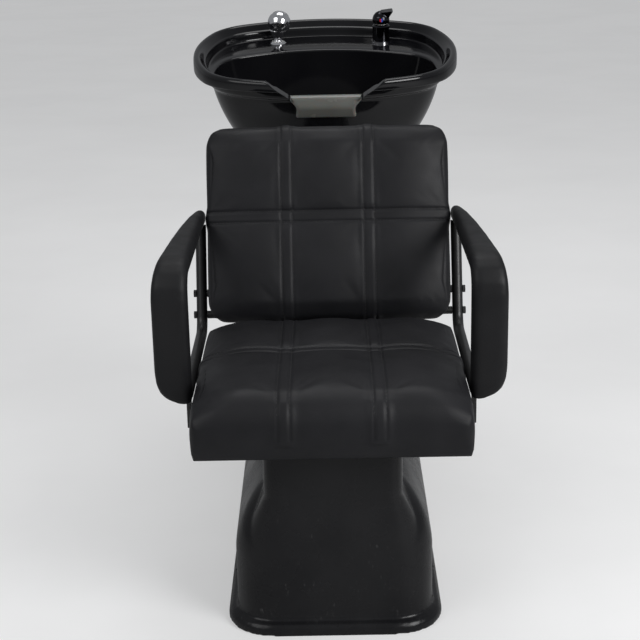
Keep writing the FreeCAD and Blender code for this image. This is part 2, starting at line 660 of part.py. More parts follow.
# Arms
arm_front = seat_front + s.arm_front_setback + s.arm_thickness / 2
arm_inner = chair_half_width + 2 * s.arm_tube_gap
arm_middle = s.arm_height - s.arm_thickness / 2
tube_top = back_frame.multVec(Vector(0, board_y, s.arm_tube_rise))
arm_rear = tube_top.y + s.arm_tube_diameter
arm_top_shares = ((0, 0.14), (0.07, 0.3), (0.22, 0.45), (0.42, 0.6), (0.65, 0.72), (1, 0.86))
arm_turn_shares = ((0.25, 0.9), (0.5, 0.95), (0.75, 0.98), (1, 1))
arm_foot_shares = ((0.3, 1), (0.7, 1), (0.82, 0.96), (0.9, 0.86), (0.95, 0.7), (0.985, 0.46), (1, 0.3))
tip_thickness_shares = {0: 0.6, 0.07: 0.9}
arm_edge_share = 0.45


def arm_section(side, y, z, lean_degrees, width_share, thickness):
    """A round-cornered slice of an arm pad, square to its line, which leans in the YZ plane."""
    inner = arm_inner
    outer = inner + s.arm_width * width_share
    corner = min(s.arm_edge, (outer - inner) * arm_edge_share, thickness * arm_edge_share)
    slice_wire = rounded_rectangle((outer - inner) / 2, -thickness / 2, thickness / 2, corner, 0)
    slice_wire.Placement = Placement(Vector(side * (inner + outer) / 2, y, z), turned(X_AXIS, lean_degrees))
    return slice_wire


def arm_pad(side):
    front_of_top = arm_front + s.arm_corner
    wires = []
    for share, width_share in arm_top_shares:
        y = arm_rear + (front_of_top - arm_rear) * share
        thickness = s.arm_thickness * tip_thickness_shares.get(share, 1)
        sag = s.arm_rear_drop * (1 - share) + (s.arm_thickness - thickness) / 2
        wires.append(arm_section(side, y, arm_middle - sag, 90, width_share, thickness))
    for share, width_share in arm_turn_shares:
        turn = math.radians(90 * share)
        y = front_of_top - s.arm_corner * math.sin(turn)
        z = arm_middle - s.arm_corner * (1 - math.cos(turn))
        wires.append(arm_section(side, y, z, 90 + 90 * share, width_share, s.arm_thickness))
    top_of_upright = arm_middle - s.arm_corner
    for share, width_share in arm_foot_shares:
        z = top_of_upright + (s.arm_foot_height - top_of_upright) * share
        wires.append(arm_section(side, arm_front, z, 180, width_share, s.arm_thickness))
    return loft(wires)


def tube_path(side):
    """Along the seat's side, then up beside the back's board."""
    x = side * tube_x
    start = Vector(x, arm_front, s.arm_run_height)
    rise = back_frame.Rotation.multVec(Z_AXIS)
    foot_of_rise = back_frame.multVec(Vector(x, board_y, 0))
    knee = foot_of_rise + rise * ((s.arm_run_height - foot_of_rise.z) / rise.z)
    top = Vector(x, tube_top.y, tube_top.z)
    turn = math.radians(90 - s.back_recline_degrees)
    reach = s.arm_tube_bend * math.tan(turn / 2)
    bend_start = knee - Y_AXIS * reach
    bend_end = knee + rise * reach
    inward = (rise - Y_AXIS).normalize()
    centre = knee + inward * (s.arm_tube_bend / math.cos(turn / 2))
    bend_middle = centre - inward * s.arm_tube_bend
    return Part.Wire([line(start, bend_start), arc(bend_start, bend_middle, bend_end), line(bend_end, top)])


def tube_along(path, radius, direction):
    """A round bar along a path that starts in a direction."""
    circle = Part.Wire(Part.Circle(path.Vertexes[0].Point, direction, radius).toShape())
    return path.makePipeShell([circle], True, False)


def arm_frame(side, pad):
    path = tube_path(side)
    radius = s.arm_tube_diameter / 2
    outer = tube_along(path, radius, Y_AXIS)
    bore = tube_along(path, radius - s.arm_tube_wall, Y_AXIS)
    straps = []
    strap_rise = s.arm_run_height - board_bottom + s.strap_thickness
    for y in strap_rows:
        leg = Part.makeBox(s.strap_thickness, s.strap_width, strap_rise)
        leg.translate(Vector(side * tube_x - s.strap_thickness / 2, y - s.strap_width / 2,
                             board_bottom - s.strap_thickness))
        foot = Part.makeBox(s.strap_reach, s.strap_width, s.strap_thickness)
        foot_x = tube_x - s.strap_reach if side > 0 else -tube_x
        foot.translate(Vector(foot_x, y - s.strap_width / 2, board_bottom - s.strap_thickness))
        straps += [leg, foot]
    shape = outer.fuse(straps).cut([bore, pad])
    holes = [Part.makeCylinder(small_bore_radius, 2 * s.overrun,
                               Vector(x, y, board_bottom - s.overrun)) for x, y in strap_screw_places]
    for z in back_bolt_rows:
        middle = back_frame.multVec(Vector(side * tube_x - s.overrun, board_y, z))
        holes.append(Part.makeCylinder(bolt_bore_radius, 2 * s.overrun, middle, X_AXIS))
    return shape.cut(holes)


back_bolts = []
back_spacers = []
spacer_room = "back_trim + arm_tube_gap + back_board_inset"
for label, side in SIDES:
    pad = arm_pad(side)
    subpart(solid(pad), f"arm_pad_{label}")
    subpart(solid(arm_frame(side, pad)), f"arm_frame_{label}")
    for z in back_bolt_rows:
        outside = at(side * (tube_x + s.arm_tube_diameter / 2), board_y, z, turned(Y_AXIS, side * 90))
        back_bolts.append(bolt("bolt_diameter", f"arm_tube_diameter + {spacer_room} + back_bolt_grip",
                               "bolt_head_width", "bolt_head_height", back_frame.multiply(outside)))
        between = at(side * back_board_half, board_y, z, turned(Y_AXIS, side * 90))
        back_spacers.append(ring("2 * bolt_diameter", "bolt_diameter + hole_clearance",
                                 f"{spacer_room} - part_gap", back_frame.multiply(between)))
subpart(group(back_bolts), "back_bolts")
subpart(group(back_spacers), "back_spacers")

# Bowl, in a frame of its own: X across, Y to the rear along the rim, Z up from the rim
rim_half_width = s.bowl_width / 2
rim_half_depth = s.bowl_depth / 2
recess_inset = s.rim_land + s.terrace_step
basin_half_width = rim_half_width - recess_inset - s.basin_ledge
basin_front = recess_inset + s.basin_front_ledge - rim_half_depth
basin_rear = rim_half_depth - recess_inset - s.deck_width
fitting_y = rim_half_depth - recess_inset - s.deck_width / 2
deck_bottom = -s.deck_drop - s.deck_thickness
long_arc_share = 1.7
side_arc_share = 1.5
corner_arc_share = 0.52
basin_level_shares = (0, 0.12, 0.3, 0.5, 0.7, 0.85, 0.95, 1)
basin_power = 1.5
strainer_ring_shares = (0.45, 0.8)
knob_scallop_share = 0.56
spray_ring_shares = ((0.3, 5), (0.62, 10), (0.88, 16))
cap_shares = ((0.45, 0.6), (0.32, 0.85), (0.14, 1))
bulb_shares = ((0.2, -0.42), (0.38, -0.28), (0.48, -0.1), (0.5, 0.06), (0.47, 0.2))
bulb_end_share = 0.46
shoulder_share = 0.36
bulb_face_share = 0.3
bulb_shift_share = 0.08


def oval(half_width, half_depth, middle, level):
    """A level oval of eight tangent arcs: long at front and rear, round corners, full sides."""
    long_radius = long_arc_share * half_width
    side_radius = side_arc_share * half_depth
    corner = corner_arc_share * min(half_width, half_depth)
    from_long = Vector(0, half_depth - long_radius, 0)
    from_side = Vector(half_width - side_radius, 0, 0)
    gap = from_side - from_long
    near = long_radius - corner
    far = side_radius - corner
    along = (near ** 2 - far ** 2 + gap.Length ** 2) / (2 * gap.Length)
    aside = math.sqrt(near ** 2 - along ** 2)
    unit = Vector(gap).normalize()
    centre = from_long + unit * along + Vector(unit.y, -unit.x, 0) * aside
    long_end = from_long + (centre - from_long).normalize() * long_radius
    side_end = from_side + (centre - from_side).normalize() * side_radius
    corner_middle = centre + ((long_end + side_end) / 2 - centre).normalize() * corner

    def spot(point, across, deep):
        return Vector(across * point.x, deep * point.y + middle, level)

    rear = Vector(0, half_depth, 0)
    flank = Vector(half_width, 0, 0)
    edges = [
        arc(spot(long_end, -1, 1), spot(rear, 1, 1), spot(long_end, 1, 1)),
        arc(spot(long_end, 1, 1), spot(corner_middle, 1, 1), spot(side_end, 1, 1)),
        arc(spot(side_end, 1, 1), spot(flank, 1, 1), spot(side_end, 1, -1)),
        arc(spot(side_end, 1, -1), spot(corner_middle, 1, -1), spot(long_end, 1, -1)),
        arc(spot(long_end, 1, -1), spot(rear, 1, -1), spot(long_end, -1, -1)),
        arc(spot(long_end, -1, -1), spot(corner_middle, -1, -1), spot(side_end, -1, -1)),
        arc(spot(side_end, -1, -1), spot(flank, -1, 1), spot(side_end, -1, 1)),
        arc(spot(side_end, -1, 1), spot(corner_middle, -1, 1), spot(long_end, -1, 1)),
    ]
    return Part.Wire(edges)


def rim_slab(inset, bottom, top):
    """The rim's oval, drawn in by an inset and raised between two levels."""
    face = Part.Face(oval(rim_half_width - inset, rim_half_depth - inset, 0, bottom))
    return face.extrude(Vector(0, 0, top - bottom))


def basin_slice(share, offset):
    """Half width, half depth, middle and level of the basin at a share of its depth."""
    width_share = max(0, 1 - share ** basin_power) ** (1 / basin_power)
    floor_width = s.basin_floor_width / 2
    floor_depth = s.basin_floor_depth / 2
    half_width = floor_width + (basin_half_width - floor_width) * width_share
    half_depth = floor_depth + ((basin_rear - basin_front) / 2 - floor_depth) * width_share
    middle = (basin_rear + basin_front) / 2 * width_share
    level = -s.deck_drop - share * (s.basin_drop - s.bowl_wall + offset - s.deck_drop)
    return half_width + offset, half_depth + offset, middle, level


def basin(offset, top):
    first = basin_slice(0, offset)
    wires = [oval(*basin_slice(share, offset)) for share in reversed(basin_level_shares)]
    return loft(wires + [oval(first[0], first[1], first[2], top)])


def basin_front_at(level, offset):
    """Where the basin's front wall is at a level."""
    share = (-level - s.deck_drop) / (s.basin_drop - s.bowl_wall + offset - s.deck_drop)
    half_width, half_depth, middle, height = basin_slice(share, offset)
    return middle - half_depth


def upright_prism(points, start, end):
    """An outline in X and Z, run along Y."""
    corners = [Vector(x, start, z) for x, z in points]
    return Part.Face(Part.makePolygon(corners + corners[:1])).extrude(Vector(0, end - start, 0))


def side_prism(points):
    """An outline in Y and Z, run along X past both sides of the bowl."""
    corners = [Vector(-s.bowl_width, y, z) for y, z in points]
    return Part.Face(Part.makePolygon(corners + corners[:1])).extrude(Vector(2 * s.bowl_width, 0, 0))


def under_skirt():
    """The room under the rim's skirt, which is shallow in front and deep at the rear."""
    reach = rim_half_depth + s.overrun
    low = -s.rim_skirt - s.overrun
    return side_prism([(-reach, -s.rim_front_skirt), (reach, -s.rim_skirt), (reach, low), (-reach, low)])


def notch():
    """The opening in the front of the rim for the sitter's neck."""
    wide = s.notch_width / 2
    narrow = s.notch_floor_width / 2
    lead = s.notch_corner / 2
    half = [(narrow, -s.notch_depth), (wide, -lead), (wide + lead, 0), (wide + lead, s.overrun)]
    points = half + [(-x, z) for x, z in reversed(half)]
    shape = upright_prism(points, -rim_half_depth - s.overrun, s.notch_through - rim_half_depth)
    floor_edges = [edge for edge in shape.Edges
                   if all(abs(vertex.Z + s.notch_depth) < s.part_gap for vertex in edge.Vertexes)
                   and abs(edge.Vertexes[0].X - edge.Vertexes[-1].X) < s.part_gap]
    return shape.makeFillet(s.notch_corner, floor_edges)


yoke_x = s.yoke_width / 2 - s.boss_diameter
boss_places = [(side * yoke_x, end * (s.yoke_depth / 2 - s.boss_diameter / 2) - s.yoke_offset)
               for side in (-1, 1) for end in (-1, 1)]
fitting_holes = ((s.mixer_x, s.mixer_shank_diameter), (-s.spray_x, s.guide_diameter))


def bowl_shape():
    rim = rim_slab(0, -s.rim_skirt, 0).cut(rim_slab(s.bowl_wall, -s.rim_skirt - s.overrun, -s.bowl_wall))
    rim = rim.cut(under_skirt())
    tray = rim_slab(s.rim_land - s.bowl_wall, deck_bottom, -s.bowl_wall / 2)
    bosses = [Part.makeCylinder(s.boss_diameter / 2, s.boss_height + s.bowl_wall / 2,
                                Vector(x, y, -s.basin_drop - s.boss_height)) for x, y in boss_places]
    outer = rim.fuse([tray, basin(s.bowl_wall, -s.deck_drop - s.deck_thickness / 2)] + bosses)
    cuts = [rim_slab(s.rim_land, -s.terrace_drop, s.overrun), rim_slab(recess_inset, -s.deck_drop, s.overrun),
            basin(0, s.overrun - s.deck_drop), notch()]
    for x, diameter in fitting_holes:
        cuts.append(Part.makeCylinder((diameter + s.hole_clearance) / 2, s.deck_thickness + 2 * s.overrun,
                                      Vector(x, fitting_y, deck_bottom - s.overrun)))
    cuts.append(Part.makeCylinder(s.drain_hole_diameter / 2, 2 * s.overrun,
                                  Vector(0, 0, -s.basin_drop - s.overrun)))
    cuts += [Part.makeCylinder(small_bore_radius, s.boss_height,
                               Vector(x, y, -s.basin_drop - s.boss_height)) for x, y in boss_places]
    shape = outer
    for tool in cuts:
        shape = shape.cut(tool)
    return shape


bowl = bowl_shape()
subpart(solid(bowl), "bowl", bowl_frame)


def neck_rest_shape():
    """A soft saddle over the notch's edge, hugging the wall in front and behind."""
    top = s.neck_rest_rise - s.notch_depth
    low = -s.notch_depth - s.neck_rest_drop
    waist = s.notch_floor_width / 2
    slope = (s.notch_width - s.notch_floor_width) / 2 / s.notch_depth
    ears = waist + s.neck_rest_rise * slope
    half = [(waist + s.neck_rest_flare, low), (waist, -s.notch_depth), (ears, top)]
    front = upright_prism(half + [(-x, z) for x, z in reversed(half)], -s.bowl_depth, s.bowl_depth)
    pad = s.neck_rest_thickness
    side_points = [(basin_front_at(low, s.bowl_wall) - pad / 2, low),
                   (basin_front_at(-s.notch_depth, s.bowl_wall) - pad, -s.notch_depth),
                   (basin_front_at(-s.notch_depth, s.bowl_wall) - pad / 2, top - pad / 3),
                   (basin_front_at(-s.notch_depth, s.bowl_wall) + pad / 2, top),
                   (basin_front_at(-s.notch_depth, 0) + pad, top - pad / 3),
                   (basin_front_at(low, 0) + pad, low)]
    return front.common(side_prism(side_points)).cut(bowl)


subpart(solid(neck_rest_shape()), "neck_rest", bowl_frame)

# Drain
floor_top = s.bowl_wall - s.basin_drop


def on_bowl(x, y, z, rotation=None):
    return bowl_frame.multiply(at(x, y, z, rotation))


tube_radius = "drain_tube_diameter / 2"
bore_radius = "drain_bore_diameter / 2"
thread_end = "-drain_thread_length"
subpart(revolved("drain_turned", (
    (bore_radius, thread_end), (tube_radius, thread_end), (tube_radius, "0"),
    ("drain_flange_diameter / 2", "0"), ("drain_flange_diameter / 2", "drain_flange_thickness / 2"),
    ("drain_tube_diameter / 2", "drain_flange_thickness"), (bore_radius, "drain_flange_thickness"))),
    "drain_flange", on_bowl(0, 0, floor_top))
gasket_place = on_bowl(0, 0, -s.basin_drop - s.drain_gasket_thickness)
subpart(ring("drain_nut_diameter", "drain_tube_diameter + hole_clearance", "drain_gasket_thickness",
             gasket_place), "drain_gasket")
nut_bottom = -s.basin_drop - s.drain_gasket_thickness - s.drain_nut_height
subpart(cut(hexagon("drain_nut_diameter", "drain_nut_height", on_bowl(0, 0, nut_bottom)),
            cylinder("(drain_tube_diameter + hole_clearance) / 2", "2 * drain_nut_height + 2 * overrun",
                     on_bowl(0, 0, nut_bottom - s.overrun))), "drain_nut")
tail_top = floor_top - s.drain_thread_length


def drain_tail_shape():
    """The waste pipe under the drain, bent so that it leaves towards the rear."""
    top = Vector(0, 0, tail_top)
    bend_start = top - Z_AXIS * s.drain_drop
    centre = bend_start + Y_AXIS * s.drain_bend
    bend_middle = centre - (Y_AXIS + Z_AXIS).normalize() * s.drain_bend
    bend_end = centre - Z_AXIS * s.drain_bend
    end = bend_end + Y_AXIS * s.drain_tail_length
    path = Part.Wire([line(top, bend_start), arc(bend_start, bend_middle, bend_end), line(bend_end, end)])
    radius = s.drain_tail_diameter / 2
    return tube_along(path, radius, Z_AXIS).cut(tube_along(path, radius - s.drain_tail_wall, Z_AXIS))


subpart(solid(drain_tail_shape()), "drain_tail", bowl_frame)
strainer_z = floor_top + s.drain_flange_thickness + s.strainer_gap
strainer_disc = cylinder("strainer_diameter / 2", "strainer_thickness", on_bowl(0, 0, strainer_z))
strainer_holes = []
for index in range(HEX_SIDES):
    spin = Placement(Vector(), turned(Z_AXIS, index * FULL_TURN / HEX_SIDES))
    for reach_share in strainer_ring_shares:
        spot = spin.multVec(Vector(s.drain_bore_diameter / 2 * reach_share, 0, 0))
        strainer_holes.append(cylinder("strainer_hole_diameter / 2", "strainer_thickness + 2 * overrun",
                                       on_bowl(spot.x, spot.y, strainer_z - s.overrun)))
strainer_knob = cylinder("strainer_knob_diameter / 2", "strainer_knob_height",
                         on_bowl(0, 0, strainer_z + s.strainer_thickness))
subpart(fused(cut(strainer_disc, *strainer_holes), strainer_knob), "hair_strainer")

# Bowl hinge
yoke_top = -s.basin_drop - s.boss_height
yoke_bottom = yoke_top - s.yoke_thickness
yoke_plate = block("yoke_width", "yoke_depth", "yoke_thickness", on_bowl(0, -s.yoke_offset, yoke_bottom))
yoke_parts = [yoke_plate]
lug_drop = "hinge_drop + lug_width / 2"
for label, side in SIDES:
    yoke_parts.append(block("lug_thickness", "lug_width", lug_drop,
                            on_bowl(side * s.hinge_lug_spacing / 2, -s.yoke_offset,
                                    yoke_bottom - s.hinge_drop - s.lug_width / 2)))
hinge_start = on_bowl(-s.yoke_width, -s.yoke_offset, yoke_bottom - s.hinge_drop, ALONG_X)
yoke_bores = [cylinder("hinge_pin_diameter / 2 + bush_clearance", "2 * yoke_width", hinge_start)]
yoke_bores += [cylinder(SMALL_BORE, "2 * overrun", on_bowl(x, y, yoke_top - s.overrun))
               for x, y in boss_places]
subpart(cut(fused(*yoke_parts), *yoke_bores), "bowl_yoke")
yoke_bolts = [bolt("small_bolt_diameter", "yoke_thickness + boss_height - part_gap", "small_head_width",
                   "small_head_height", on_bowl(x, y, yoke_bottom, HEAD_DOWN))
              for x, y in boss_places]
subpart(group(yoke_bolts), "yoke_bolts")

pin_half = s.hinge_lug_spacing / 2 + s.lug_thickness
pin_start = at(-pin_half, hinge_axis.y, hinge_axis.z, ALONG_X)
pin_length = "hinge_lug_spacing + 2 * lug_thickness + pin_overhang"
subpart(cylinder("hinge_pin_diameter / 2", pin_length, pin_start), "hinge_pin")

bracket_width = "hinge_lug_spacing - lug_thickness - 2 * lug_gap"
bracket_parts = [block(bracket_width, "post_depth", "lug_thickness", at(0, post_y, post_top))]
bracket_lug_x = (s.hinge_lug_spacing - s.lug_thickness) / 2 - s.lug_gap - s.lug_thickness / 2
for label, side in SIDES:
    lug = block("lug_thickness", "lug_width", "bracket_rise", at(side * bracket_lug_x, post_y, post_top))
    eye = cylinder("lug_width / 2", "lug_thickness",
                   at(side * bracket_lug_x - s.lug_thickness / 2, hinge_axis.y, hinge_axis.z, ALONG_X))
    bracket_parts += [lug, eye]
bush_radius = "hinge_pin_diameter / 2 + bush_clearance + bush_wall"


def on_hinge(x):
    return at(x, hinge_axis.y, hinge_axis.z, ALONG_X)


bracket_bores = [cylinder(bush_radius, "2 * yoke_width", on_hinge(-s.yoke_width))]
bracket_bores += [cylinder(BOLT_BORE, "2 * overrun", at(x, y, post_top - s.overrun))
                  for x, y in bracket_bolt_places]
subpart(cut(fused(*bracket_parts), *bracket_bores), "bowl_bracket")
bush_bore = "hinge_pin_diameter + 2 * bush_clearance"
bushes = [ring(f"{bush_bore} + 2 * bush_wall", bush_bore, "lug_thickness",
               on_hinge(side * bracket_lug_x - s.lug_thickness / 2)) for label, side in SIDES]
subpart(group(bushes), "hinge_bushes")
bracket_bolts = [bolt("bolt_diameter", "lug_thickness + post_wall + bolt_head_height", "bolt_head_width",
                      "bolt_head_height", at(x, y, post_top + s.lug_thickness))
                 for x, y in bracket_bolt_places]
subpart(group(bracket_bolts), "bracket_bolts")

knob_start = s.hinge_lug_spacing / 2 + s.lug_thickness / 2 + s.lug_gap
knob_place = at(knob_start, hinge_axis.y, hinge_axis.z, ALONG_X)
knob_round = cylinder("knob_diameter / 2", "knob_thickness", knob_place)
knob_bore_depth = "pin_overhang + lug_thickness / 2"
knob_cuts = [cylinder("hinge_pin_diameter / 2 + bush_clearance", knob_bore_depth, knob_place)]
grip_count = round(s.knob_grip_count)
for index in range(grip_count):
    spin = Placement(Vector(), turned(Z_AXIS, index * FULL_TURN / grip_count))
    spot = spin.multVec(Vector(s.knob_diameter * knob_scallop_share, 0, -s.overrun))
    scallop_place = knob_place.multiply(Placement(spot, Rotation()))
    knob_cuts.append(cylinder("knob_diameter / 8", "knob_thickness + 2 * overrun", scallop_place))
subpart(cut(knob_round, *knob_cuts), "tilt_knob")


# Mixer tap, in a frame on the bowl's deck
def on_deck(x, z, rotation=None):
    return on_bowl(x, fitting_y, z - s.deck_drop, rotation)


body_radius = "mixer_diameter / 2"
body_top = "mixer_ring_height + mixer_height"
cavity_floor = f"{body_top} - cartridge_depth"
cavity_radius = "cartridge_diameter / 2 + part_gap"
subpart(ring("mixer_ring_diameter", "mixer_shank_diameter + hole_clearance", "mixer_ring_height",
             on_deck(s.mixer_x, 0)), "mixer_ring")
subpart(revolved("mixer_turned", (
    ("0", "-mixer_shank_length"), ("mixer_shank_diameter / 2", "-mixer_shank_length"),
    ("mixer_shank_diameter / 2", "mixer_ring_height"), (body_radius, "mixer_ring_height"),
    (body_radius, f"{body_top} - mixer_bevel"), (cavity_radius, f"{body_top} - 2 * part_gap"),
    (cavity_radius, cavity_floor), ("0", cavity_floor))),
    "mixer_body", on_deck(s.mixer_x, 0))
under_deck = -s.deck_thickness - s.mixer_nut_height
subpart(cut(hexagon("mixer_nut_width", "mixer_nut_height", on_deck(s.mixer_x, under_deck)),
            cylinder("(mixer_shank_diameter + hole_clearance) / 2", "mixer_nut_height + 2 * overrun",
                     on_deck(s.mixer_x, under_deck - s.overrun))), "mixer_nut")
inlets = [ring("inlet_diameter", "inlet_diameter / 2", "inlet_length",
               on_deck(s.mixer_x + side * s.inlet_spacing / 2, -s.mixer_shank_length - s.inlet_length))
          for side in (-1, 1)]
subpart(group(inlets), "mixer_inlets")
cavity_z = s.mixer_ring_height + s.mixer_height - s.cartridge_depth
subpart(revolved("cartridge_turned", (
    ("0", "part_gap"), ("cartridge_diameter / 2", "part_gap"), ("cartridge_diameter / 2", "cartridge_depth"),
    ("stem_diameter / 2", "cartridge_depth"), ("stem_diameter / 2", "cartridge_depth + stem_height"),
    ("0", "cartridge_depth + stem_height"))), "mixer_cartridge", on_deck(s.mixer_x, cavity_z))
cap_z = s.mixer_ring_height + s.mixer_height + s.cap_gap
socket_radius = "stem_diameter / 2 + stem_play"
socket_top = "stem_height + stem_play"
skirt_radius = "cartridge_diameter / 2 + stem_play"
cap_inside = [("0", socket_top), (socket_radius, socket_top), (socket_radius, "cap_recess"),
              (skirt_radius, "cap_recess"), (skirt_radius, "0")]
cap_outside = [(body_radius, "0"), (body_radius, "cap_height / 3")]
cap_outside += [(f"mixer_diameter * {across}", f"cap_height * {up}") for across, up in cap_shares]
cap_dome = revolved("cap_turned", cap_inside + cap_outside + [("0", "cap_height")])
cap_lever = extruded("lever_plate", "XZ_Plane", (
    ("0", "cap_height / 2"), (f"mixer_diameter * {cap_shares[0][0]}", "cap_height / 2"),
    ("lever_reach", "cap_height + lever_tip / 2"), ("lever_reach - lever_tip", "cap_height + lever_tip"),
    ("0", "cap_height")), "lever_width")
lever = fused(cap_dome, cap_lever)
subpart(lever, "mixer_lever", on_deck(s.mixer_x, cap_z))
for label, side in (("hot_mark", -1), ("cold_mark", 1)):
    mark_place = on_deck(s.mixer_x + side * s.indicator_diameter / 4, cap_z + s.cap_height / 4)
    out = mark_place.multiply(at(0, -s.mixer_diameter / 2, 0))
    mark = block("indicator_diameter / 2", "2 * mark_thickness", "indicator_diameter", out)
    subpart(cut(mark, lever), label)

# Hand spray
subpart(revolved("spray_ring_turned", (
    ("guide_diameter / 2 + part_gap", "0"), ("spray_ring_diameter / 2", "0"),
    ("spray_ring_diameter / 2", "spray_ring_height / 3"),
    ("guide_diameter / 2 + spray_ring_height / 3", "spray_ring_height"),
    ("guide_diameter / 2 + part_gap", "spray_ring_height"))), "spray_ring", on_deck(-s.spray_x, 0))
guide_z = s.spray_ring_height - s.guide_length
guide_place = on_deck(-s.spray_x, guide_z)
subpart(ring("guide_diameter", "guide_bore_diameter", "guide_length", guide_place), "spray_guide")
guide_nut_z = -s.deck_thickness - s.guide_nut_height
subpart(cut(hexagon("guide_nut_width", "guide_nut_height", on_deck(-s.spray_x, guide_nut_z)),
            cylinder("(guide_diameter + hole_clearance) / 2", "guide_nut_height + 2 * overrun",
                     on_deck(-s.spray_x, guide_nut_z - s.overrun))), "spray_guide_nut")
stub_radius = "spray_stub_diameter / 2"
neck_radius = "spray_neck_diameter / 2"
shoulder_radius = f"spray_bulb_diameter * {shoulder_share}"
neck_end = "spray_ring_height + part_gap + spray_neck_height * 3 / 2"
stub = revolved("stub_turned", (
    ("0", "spray_ring_height - spray_stub_length"), (stub_radius, "spray_ring_height - spray_stub_length"),
    (stub_radius, "spray_ring_height + part_gap"), ("guide_diameter / 2", "spray_ring_height + part_gap"),
    (neck_radius, "spray_ring_height * 3 / 2 + part_gap"), (shoulder_radius, neck_end), ("0", neck_end)))
bulb_skin = [(f"spray_bulb_diameter * {across}", f"spray_bulb_diameter * {up}") for across, up in bulb_shares]
bulb_face = f"spray_bulb_diameter * {bulb_face_share}"
bulb = revolved("bulb_turned", [("0", f"-spray_bulb_diameter * {bulb_end_share}")] + bulb_skin + [
    ("spray_face_diameter / 2 + part_gap", bulb_face), ("0", bulb_face)])
bulb_rise = s.spray_ring_height + s.spray_neck_height + s.spray_bulb_diameter * bulb_end_share
bulb_turn = turned(Y_AXIS, s.spray_lean_degrees).multiply(turned(X_AXIS, -s.spray_face_degrees))
bulb_place = at(s.spray_bulb_diameter * bulb_shift_share, 0, bulb_rise, bulb_turn)
bulb.Placement = bulb_place
subpart(fused(stub, bulb), "spray_head", on_deck(-s.spray_x, 0))
face_place = on_deck(-s.spray_x, 0).multiply(bulb_place).multiply(at(0, 0, number(bulb_face)))
nozzles = []
for ring_share, count in spray_ring_shares:
    for index in range(count):
        spin = Placement(Vector(), turned(Z_AXIS, index * FULL_TURN / count))
        spot = spin.multVec(Vector(s.spray_face_diameter / 2 * ring_share, 0, s.spray_face_thickness / 2))
        nozzle_place = face_place.multiply(Placement(spot, Rotation()))
        nozzles.append(cylinder("spray_nozzle_diameter / 2", "spray_face_thickness", nozzle_place))
subpart(cut(cylinder("spray_face_diameter / 2", "spray_face_thickness", face_place), *nozzles), "spray_face")

doc.recompute()
for thing in doc.Objects:
    if "Invalid" in thing.State or "Error" in thing.State:
        raise RuntimeError(f"{thing.Label} failed: {thing.State}")
for thing in SUBPARTS:
    if thing.Shape.isNull() or not thing.Shape.isValid() or not thing.Shape.Solids:
        raise RuntimeError(f"{thing.Label} is not a sound solid")
os.makedirs("parts", exist_ok=True)
for thing in SUBPARTS:
    thing.Shape.exportStep(f"parts/{thing.Label}.step")
    print(thing.Label, len(thing.Shape.Solids), round(thing.Shape.Volume))
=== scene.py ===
"""Salon backwash unit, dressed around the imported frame: metres, +Z up, the sitter faces -Y."""
import json
import math

import bmesh
import bpy
import numpy as np
from mathutils import Matrix, Vector
from mathutils.bvhtree import BVHTree


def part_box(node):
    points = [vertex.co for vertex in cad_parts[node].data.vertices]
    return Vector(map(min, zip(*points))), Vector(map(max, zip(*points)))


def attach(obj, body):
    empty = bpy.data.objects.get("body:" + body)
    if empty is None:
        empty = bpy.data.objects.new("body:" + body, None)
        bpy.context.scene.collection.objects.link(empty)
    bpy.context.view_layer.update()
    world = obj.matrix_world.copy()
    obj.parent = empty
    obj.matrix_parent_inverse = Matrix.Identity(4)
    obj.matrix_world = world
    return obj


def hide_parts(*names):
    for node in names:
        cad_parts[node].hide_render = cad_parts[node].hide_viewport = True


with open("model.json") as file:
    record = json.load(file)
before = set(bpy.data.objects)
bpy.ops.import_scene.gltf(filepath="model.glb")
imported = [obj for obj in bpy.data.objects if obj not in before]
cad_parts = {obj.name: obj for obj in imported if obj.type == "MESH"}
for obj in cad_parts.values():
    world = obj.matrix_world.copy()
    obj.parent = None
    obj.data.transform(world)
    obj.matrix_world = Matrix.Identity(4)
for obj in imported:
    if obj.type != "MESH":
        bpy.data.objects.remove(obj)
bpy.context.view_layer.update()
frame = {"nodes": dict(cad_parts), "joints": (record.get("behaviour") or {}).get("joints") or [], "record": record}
nodes = frame["nodes"]
scene = bpy.context.scene

# Sizes that the frame's boxes don't give
FLANGE_CORNER = 0.090
FLANGE_LIP = 0.014
FLANGE_BEAD = 0.008
BEAD_INSET = 0.006
BODY_INSET = 0.018
BODY_CORNER = 0.072
SHELL_WALL = 0.005
STRAIGHT_HEIGHT = 0.140
FLARE_HEIGHT = 0.268
COLUMN_WIDTH = 0.254
COLUMN_CORNER = 0.028
COLUMN_DEPTH = 0.300
DOME_RISE = 0.178
DOME_SETBACK = 0.190
DOME_TOP_SHARE = 0.95
DOME_POWER = 2
DOME_STEPS = 24
REAR_STEP = 0.006
REAR_CORNER = 0.040
REAR_BASE = Vector((0.290, 0.290))
REAR_TOP = Vector((0.230, 0.170))
HOSE_PORT_RADIUS = 0.025
POST_ROOM_HALF = Vector((0.0405, 0.0305))
POST_ROOM_CORNER = 0.001
SEAM_PITCH = 0.167
SEAM_STRIP = 0.022
SEAT_SEAM_SHARE = 0.58
BACK_SEAM_SHARE = 0.53
BACK_RECLINE = math.radians(20)
BACK_LENGTH = 0.406
BACK_FOAM = 0.070
BACK_GAP = 0.002
SEAT_REAR_HEIGHT = 0.082
BOWL_TILT = math.radians(8.2)
BOWL_CENTRE = Vector((0, 0.415, 0.955))
BOWL_HALF = Vector((0.294, 0.260))
BOWL_WALL = 0.006
RIM_SKIRT = 0.055
RIM_FRONT_SKIRT = 0.022
RIM_LAND = 0.022
TERRACE_STEP = 0.008
DECK_DROP = 0.036
DECK_WIDTH = 0.112
BASIN_LEDGE = 0.018
BASIN_FRONT_LEDGE = 0.008
BASIN_DROP = 0.245
